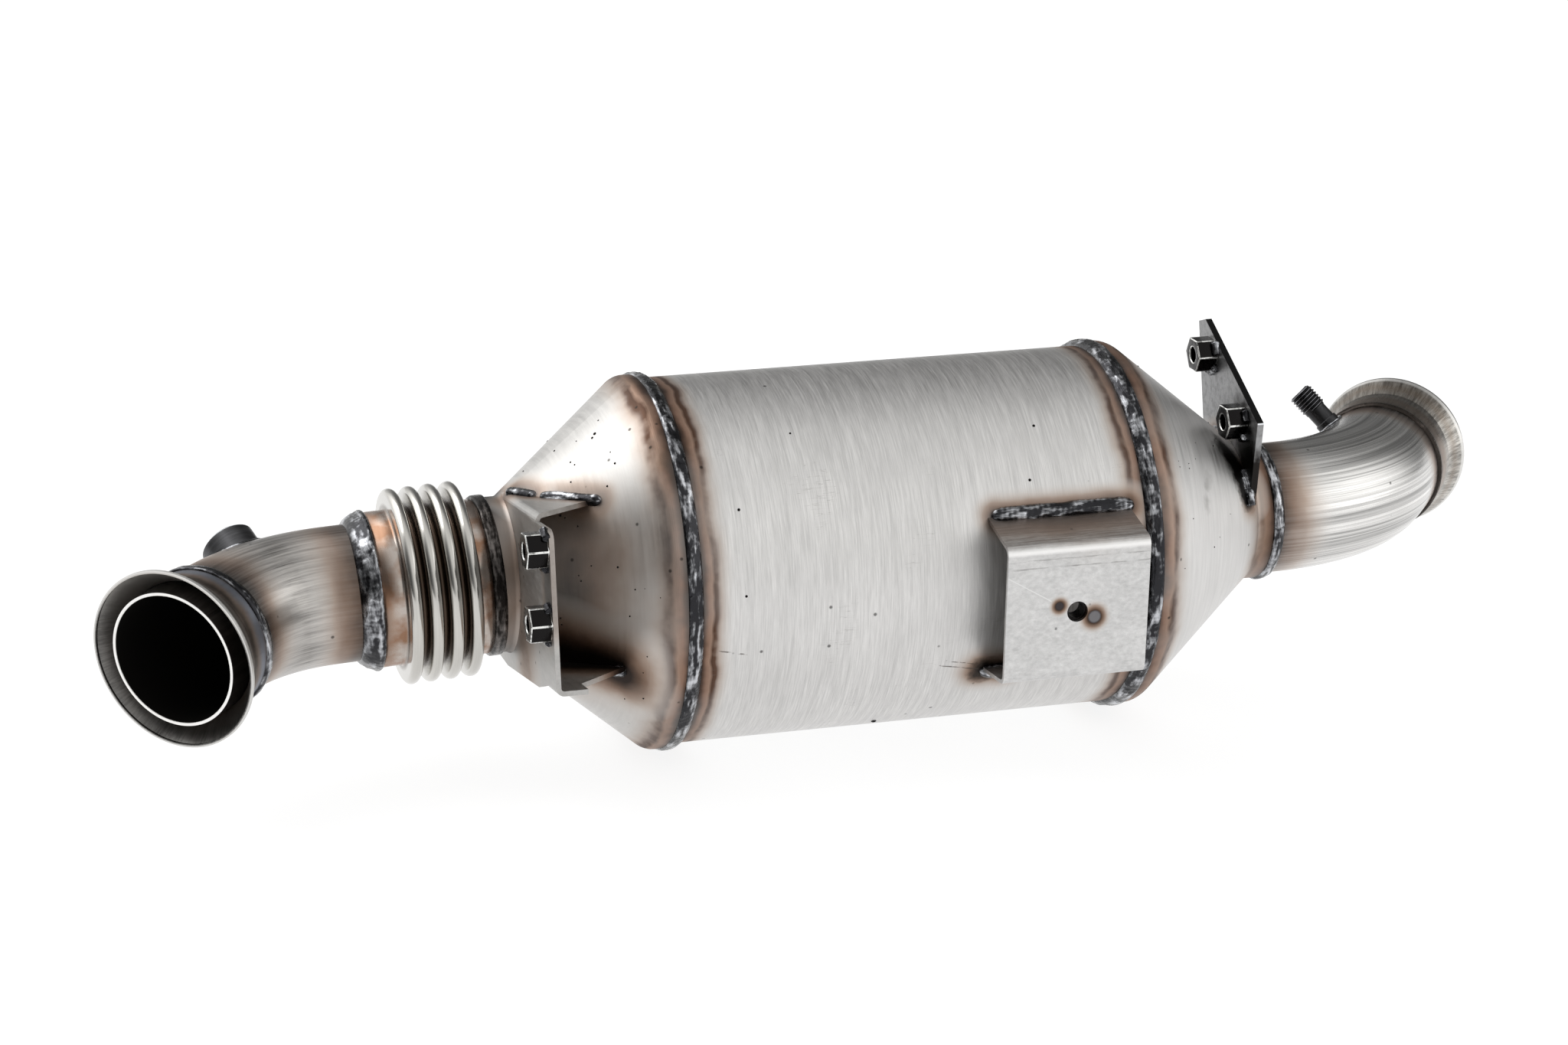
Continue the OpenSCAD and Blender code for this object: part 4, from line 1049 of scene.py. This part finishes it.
# %% Bracket beads
def bar_bead(bm, start, end, r, seed):
    """Adds one rippled bar between two points, given in metres."""
    length = (end - start).length / MM
    whole = length + 1.2 * r
    rows = max(18, int((length + 2 * r) / 0.7))
    ridge, run = bead_layers(bm)
    made = bmesh.ops.create_uvsphere(bm, u_segments=22, v_segments=rows, radius=1)["verts"]
    for v in made:
        z = v.co.z
        ring = max(1e-6, math.hypot(v.co.x, v.co.y))
        girth = (1 - abs(z) ** 12) ** 0.5 if abs(z) < 1 else 0
        s = (z + 1) / 2 * whole
        v[ridge] = ripple(s, v.co.y / ring, seed)
        v[run] = (s, v.co.y / ring + v.co.x / ring, seed)
        push = r * girth * (1 + 0.16 * v[ridge])
        v.co = (v.co.x / ring * push, v.co.y / ring * push, s - 0.6 * r)
    to = (end - start).to_track_quat("Z", "Y").to_matrix().to_4x4()
    place = Matrix.Translation(start) @ to @ Matrix.Scale(MM, 4)
    bmesh.ops.transform(bm, verts=made, matrix=place)


def bead_set(name, runs, r, seed, stands_for):
    bm = bmesh.new()
    for k, (start, end) in enumerate(runs):
        bar_bead(bm, start, end, r, seed + k)
    return piece(name, bm, bead_metal, Matrix.Identity(4), stands_for, scale=1.0)


ARC_R, ARC_X, ARC_BARS = 43.4, 74.8, 4
arc_runs = []
for a, b in OUT_ARCS:
    stops = [plate_point(a + (b - a) * k / ARC_BARS, ARC_R, ARC_X) for k in range(ARC_BARS + 1)]
    arc_runs += zip(stops, stops[1:])
bead_set("inlet_bracket_beads", IN_BEADS, 3.2, 11.0, ["inlet_bracket_welds"])
bead_set("side_bracket_beads", SIDE_BEADS, 4.6, 21.0, ["side_bracket_welds"])
bead_set("outlet_bracket_beads", arc_runs, 3.1, 31.0, ["outlet_bracket_welds"])

# %% [markdown]
# ## Bellows
# The bellows is one thin tube pressed into round folds. Its outer line is drawn as a square meander of
# a few points, the corners are rounded with a vertex bevel, and the line is spun about its axis. A
# Solidify modifier gives the sheet its thickness inwards. Bright folds need a smooth, round section.
# The valleys are darkened with painted shade, and the two cuffs have a copper blush.

# %% Bellows
FOLDS, FIRST_FOLD, FOLD_PITCH, FOLD_WIDTH = 4, 8.4, 10.2, 6.4
CREST_R, WALL, ROUNDNESS = 50.25, 0.8, 0.98
crest_bend = FOLD_WIDTH / 2 * ROUNDNESS
valley_bend = (FOLD_PITCH - FOLD_WIDTH) / 2 * ROUNDNESS
corners = [(CUFF_R, 0, 0)]
for k in range(FOLDS):
    z = FIRST_FOLD + (k + 0.5) * FOLD_PITCH
    low, high = z - FOLD_WIDTH / 2, z + FOLD_WIDTH / 2
    corners += [(CUFF_R, low, valley_bend), (CREST_R, low, crest_bend)]
    corners += [(CREST_R, high, crest_bend), (CUFF_R, high, valley_bend)]
corners += [(CUFF_R, BELLOWS_LEN, 0)]

bm = bmesh.new()
verts = joined(bm, [(r, z) for r, z, bend in corners])
for v, (r, z, bend) in zip(verts, corners):
    if bend:
        bmesh.ops.bevel(
            bm, geom=[v], offset=bend, offset_type="OFFSET", segments=9, profile=0.5,
            affect="VERTICES", material=-1,
        )
spun(bm, 160)

s = Sheet("bright bellows")
length = s.from_plane(INLET_RUN, 0, 1)
grain = s.brushed(s.mapped(s.point, INLET_RUN, (0.03, 0.03, 1)), 700.0)
tints = [
    (s.past(length, -0.004), 0.014, 0.85),
    (s.past((BELLOWS_LEN - 1) * MM, length), 0.014, 0.8),
]
from_axis = s.from_axis(INLET_RUN)
# Painted shade in the deep valleys between the folds.
painted_valley_shade = s.span(from_axis, 0.0405, 0.0437, 1, 0, soft=True)
inside = s.times(s.span(length, 0.0088, 0.0105), s.span(length, 0.0468, 0.0485, 1, 0))
patchy = s.span(s.noise(s.point, 70), 0.38, 0.62, 0.3, 1.0)
blush = s.times(s.span(from_axis, 0.041, 0.043, 1, 0), patchy)
stains = [
    (s.times(blush, s.math("SUBTRACT", 1.0, inside)), (0.27, 0.155, 0.1), 0.26),
    (s.times(painted_valley_shade, inside), (0.07, 0.05, 0.038), 0.25),
]
bright = s.finish(
    (0.57, 0.555, 0.525), grain, 0.17, tints, grain_depth=0.06, spots=0.0, bump=0.03, soil=0.05,
    stains=stains,
)
bellows = piece("bellows_folds", bm, bright, INLET_RUN, ["bellows"], crease=60)
wall = bellows.modifiers.new("wall", "SOLIDIFY")
wall.thickness, wall.offset = WALL * MM, -1

# %% [markdown]
# ## Weld nuts
# The nuts are plain hexagons with a chamfer, tacked down by blobs of weld at their feet. Each starts
# as a six-sided ring bridged to a round hole, is extruded to its height, and has its edges bevelled. The
# bevelled faces count as ridges, so the nut steel paints a highlight on them. Lumpy blobs, made like the
# bracket beads, sit where nut and sheet meet.

# %% Nuts
NUT_FLATS, NUT_BORE_R, NUT_HEIGHT, NUT_EDGE = 17, 4.25, 11, 0.6
TACK_R, TACK_OUT, TACK_UP = 2.3, 9.2, 0.9


def nut():
    """One nut that stands on the XY plane, in millimetres."""
    bm = bmesh.new()
    ridge = bm.faces.layers.float.new("ridge")
    bmesh.ops.create_circle(bm, segments=6, radius=NUT_FLATS / 2 / math.cos(math.radians(30)))
    bmesh.ops.subdivide_edges(bm, edges=bm.edges[:], cuts=3)
    bmesh.ops.create_circle(bm, segments=24, radius=NUT_BORE_R)
    flat = bmesh.ops.bridge_loops(bm, edges=bm.edges[:])["faces"]
    up = bmesh.ops.extrude_face_region(bm, geom=flat)["geom"]
    raised = [g for g in up if isinstance(g, bmesh.types.BMVert)]
    bmesh.ops.translate(bm, verts=raised, vec=(0, 0, NUT_HEIGHT))
    bmesh.ops.recalc_face_normals(bm, faces=bm.faces)
    corners = [e for e in bm.edges if e.is_manifold and e.calc_face_angle(0) > math.radians(50)]
    edges = bmesh.ops.bevel(
        bm, geom=corners, offset=NUT_EDGE, offset_type="OFFSET", segments=3, profile=0.5,
        affect="EDGES", material=-1,
    )["faces"]
    # The bevelled faces are marked as ridges for the painted highlight.
    for face in edges:
        face[ridge] = 1.0
    return bm


def nut_set(name, places, stands_for):
    both = bmesh.new()
    both.faces.layers.float.new("ridge")
    for matrix in places:
        bm = nut()
        bmesh.ops.transform(bm, verts=bm.verts, matrix=matrix @ Matrix.Scale(MM, 4))
        data = bpy.data.meshes.new("nut")
        bm.to_mesh(data)
        bm.free()
        both.from_mesh(data)
        bpy.data.meshes.remove(data)
    return piece(name, both, nut_metal, Matrix.Identity(4), stands_for, crease=30, scale=1.0)


def foot_blobs(name, places, angles, seed):
    """Lumps of weld at the feet of the nuts, by their angles round the nut."""
    bm = bmesh.new()
    for k, matrix in enumerate(places):
        for j, angle in enumerate(angles):
            a = math.radians(angle)
            side = Vector((math.cos(a), math.sin(a), 0)) * TACK_OUT
            half = 2.2 + 0.8 * math.sin(seed + 3 * k + j)
            run = Vector((-math.sin(a), math.cos(a), 0)) * half
            start, end = (spot(matrix, *(side + d * run + Vector((0, 0, TACK_UP)))) for d in (-1, 1))
            bar_bead(bm, start, end, TACK_R, seed + k + 7 * j)
    return piece(name, bm, bead_metal, Matrix.Identity(4), scale=1.0)


PLATE_SLOPE, PLATE_NUT_PITCH = math.radians(30.5), 51
in_nuts = [IN_BRACKET @ move(*place) @ turn("Y", -90) for place in IN_NUTS]
out_nuts = []
for along in (0, PLATE_NUT_PITCH):
    y, z = 20 - along * math.cos(PLATE_SLOPE), 83 - along * math.sin(PLATE_SLOPE)
    out_nuts.append(SEAM @ move(SPAN + PLATE_X, y, z) @ turn("Y", -90))
nut_set("inlet_weld_nuts", in_nuts, ["inlet_bracket_nuts"])
nut_set("outlet_weld_nuts", out_nuts, ["outlet_bracket_nuts"])
foot_blobs("inlet_nut_tacks", in_nuts, (90, 180, 330), 41.0)
foot_blobs("outlet_nut_tacks", out_nuts, (150, 210, 300), 51.0)

# %% [markdown]
# ## Pressure stub
# The stub is a turned fitting: a foot, a plain neck and a fine outer thread. The body is a line spun
# about its axis. The thread is a small tooth swept by a spin that also rises, one pitch each turn, which
# is how a helix is made with the same operator.

# %% Stub
BORE_R, FOOT_R, STEM_R, THREAD_R = 3.0, 6.6, 5.75, 7.0
PITCH, TURNS, TURN_STEPS = 1.9, 6.2, 40
z0, z1, z2, z3 = 30.0, PIPE_R + 4.0, PIPE_R + 11.5, PIPE_R + 25.0
bm = bmesh.new()
body = [
    (BORE_R, z0), (FOOT_R, z0), (FOOT_R, z1 - 0.5), (FOOT_R - 0.5, z1), (STEM_R, z1), (STEM_R, z2),
    (THREAD_R - 1.0, z2), (THREAD_R - 0.9, z2 + 0.5), (THREAD_R - 0.9, z3 - 0.6),
    (THREAD_R - 1.3, z3), (BORE_R, z3),
]
joined(bm, body, closed=True)
spun(bm, 48)
bmesh.ops.remove_doubles(bm, verts=bm.verts, dist=1e-5)
tooth = bmesh.new()
tooth_z = z2 + 0.4
joined(tooth, [
    (THREAD_R - 1.0, tooth_z), (THREAD_R, tooth_z + PITCH * 0.42), (THREAD_R, tooth_z + PITCH * 0.58),
    (THREAD_R - 1.0, tooth_z + PITCH),
])
steps = int(TURNS * TURN_STEPS)
spun(tooth, steps, TURNS, PITCH * TURNS / steps)
thread_data = bpy.data.meshes.new("thread")
tooth.to_mesh(thread_data)
tooth.free()
bm.from_mesh(thread_data)
piece("threaded_stub", bm, stub_metal, STUB, ["pressure_stub"], crease=35)


# %% [markdown]
# ## Boss and stub welds
# The boss and the stub stand on round pipes, so their beads are rings that drop on two sides, like a
# saddle. A flat ring is spun first, and each point is then lowered by the pipe's roundness. The boss
# stands in the bend, where the pipe also falls away along its length.

# %% Boss and stub welds
def saddle_bead(name, matrix, foot_r, w, seed, bend, stands_for):
    """A lumpy ring round a foot that stands on a pipe, dropped to follow the pipe's round."""
    bm = bmesh.new()
    bmesh.ops.create_circle(bm, segments=14, radius=1)
    for v in bm.verts:
        v.co = (foot_r + w * 0.55 + v.co.x * w, 0, v.co.y * w)
    bead_layers(bm)
    spun(bm, 72)
    ridge, run = bead_layers(bm)
    for v in bm.verts:
        s = math.atan2(v.co.y, v.co.x) * foot_r
        drop = PIPE_R - math.sqrt(PIPE_R**2 - v.co.y**2) + v.co.x**2 * bend
        v[ridge] = ripple(s, v.co.z / w, seed)
        v[run] = (s, v.co.z / w, seed)
        lift = 0.3 * w * v[ridge]
        v.co.z += PIPE_R - drop + lift
    return piece(name, bm, bead_metal, matrix, stands_for)


saddle_bead("boss_bead", BOSS, 14.3, 2.2, 61.0, 0.0035, ["sensor_boss_weld"])
saddle_bead("stub_bead", STUB, FOOT_R, 1.2, 62.0, 0.0, ["pressure_stub_weld"])

# %% [markdown]
# ## Spatter
# Welding throws small drops that freeze on the sheet nearby. They are low domes: small spheres pressed
# flat against the surface. A fixed seed places most of them, close to the bracket's beads and over both
# cones. A few that the photograph shows on the canister have their own places.

# %% Spatter
KNOWN_DROPS = [
    ((107.7, -47, -82.5), 1.5), ((188.4, -59.7, 73.9), 0.8), ((60.4, -53.8, 78.3), 0.6),
    ((25.8, -81.4, 49), 0.8), ((25.9, -94.7, 7.9), 0.7), ((179.5, -79.9, 51.4), 0.8),
]
random.seed(7)
bm = bmesh.new()


def drop(center, normal, r):
    """Adds one frozen drop on a surface."""
    made = bmesh.ops.create_icosphere(bm, subdivisions=2, radius=r * MM)["verts"]
    bmesh.ops.scale(bm, verts=made, vec=(1, 1, 0.6))
    frame_up = normal.to_track_quat("Z", "Y").to_matrix().to_4x4()
    bmesh.ops.transform(bm, verts=made, matrix=Matrix.Translation(center) @ frame_up)


def on_cone(x, angle, inlet=True):
    """A point and normal on a cone, x from its seam, at an angle from -Y upwards."""
    neck_r, taper = (IN_NECK_R, IN_TAPER) if inlet else (OUT_NECK_R, OUT_TAPER)
    a = math.radians(angle)
    round_way = Vector((0, -math.cos(a), math.sin(a)))
    along_way = -1 if inlet else 1
    tilt = Vector((along_way * (LIP_R - neck_r) / taper, 0, 0))
    place = Vector((-x if inlet else SPAN + x, 0, 0)) + round_way * cone_radius(x, neck_r, taper)
    return spot(SEAM, *place), (round_way + tilt).normalized()


for _ in range(18):
    drop(*on_cone(random.uniform(26, 70), random.gauss(62, 22)), random.uniform(0.35, 1.0))
for _ in range(22):
    drop(*on_cone(random.uniform(16, 66), random.uniform(-40, 60)), random.uniform(0.25, 0.6))
for _ in range(16):
    drop(*on_cone(random.uniform(16, 66), random.uniform(0, 100), False), random.uniform(0.25, 0.6))
for (x, y, z), r in KNOWN_DROPS:
    drop(spot(SEAM, x, y, z), Vector((0, y, z)).normalized(), r)
# The drops take the nut steel, whose bright flecks are painted glints.
piece("weld_spatter", bm, nut_metal, Matrix.Identity(4), scale=1.0)
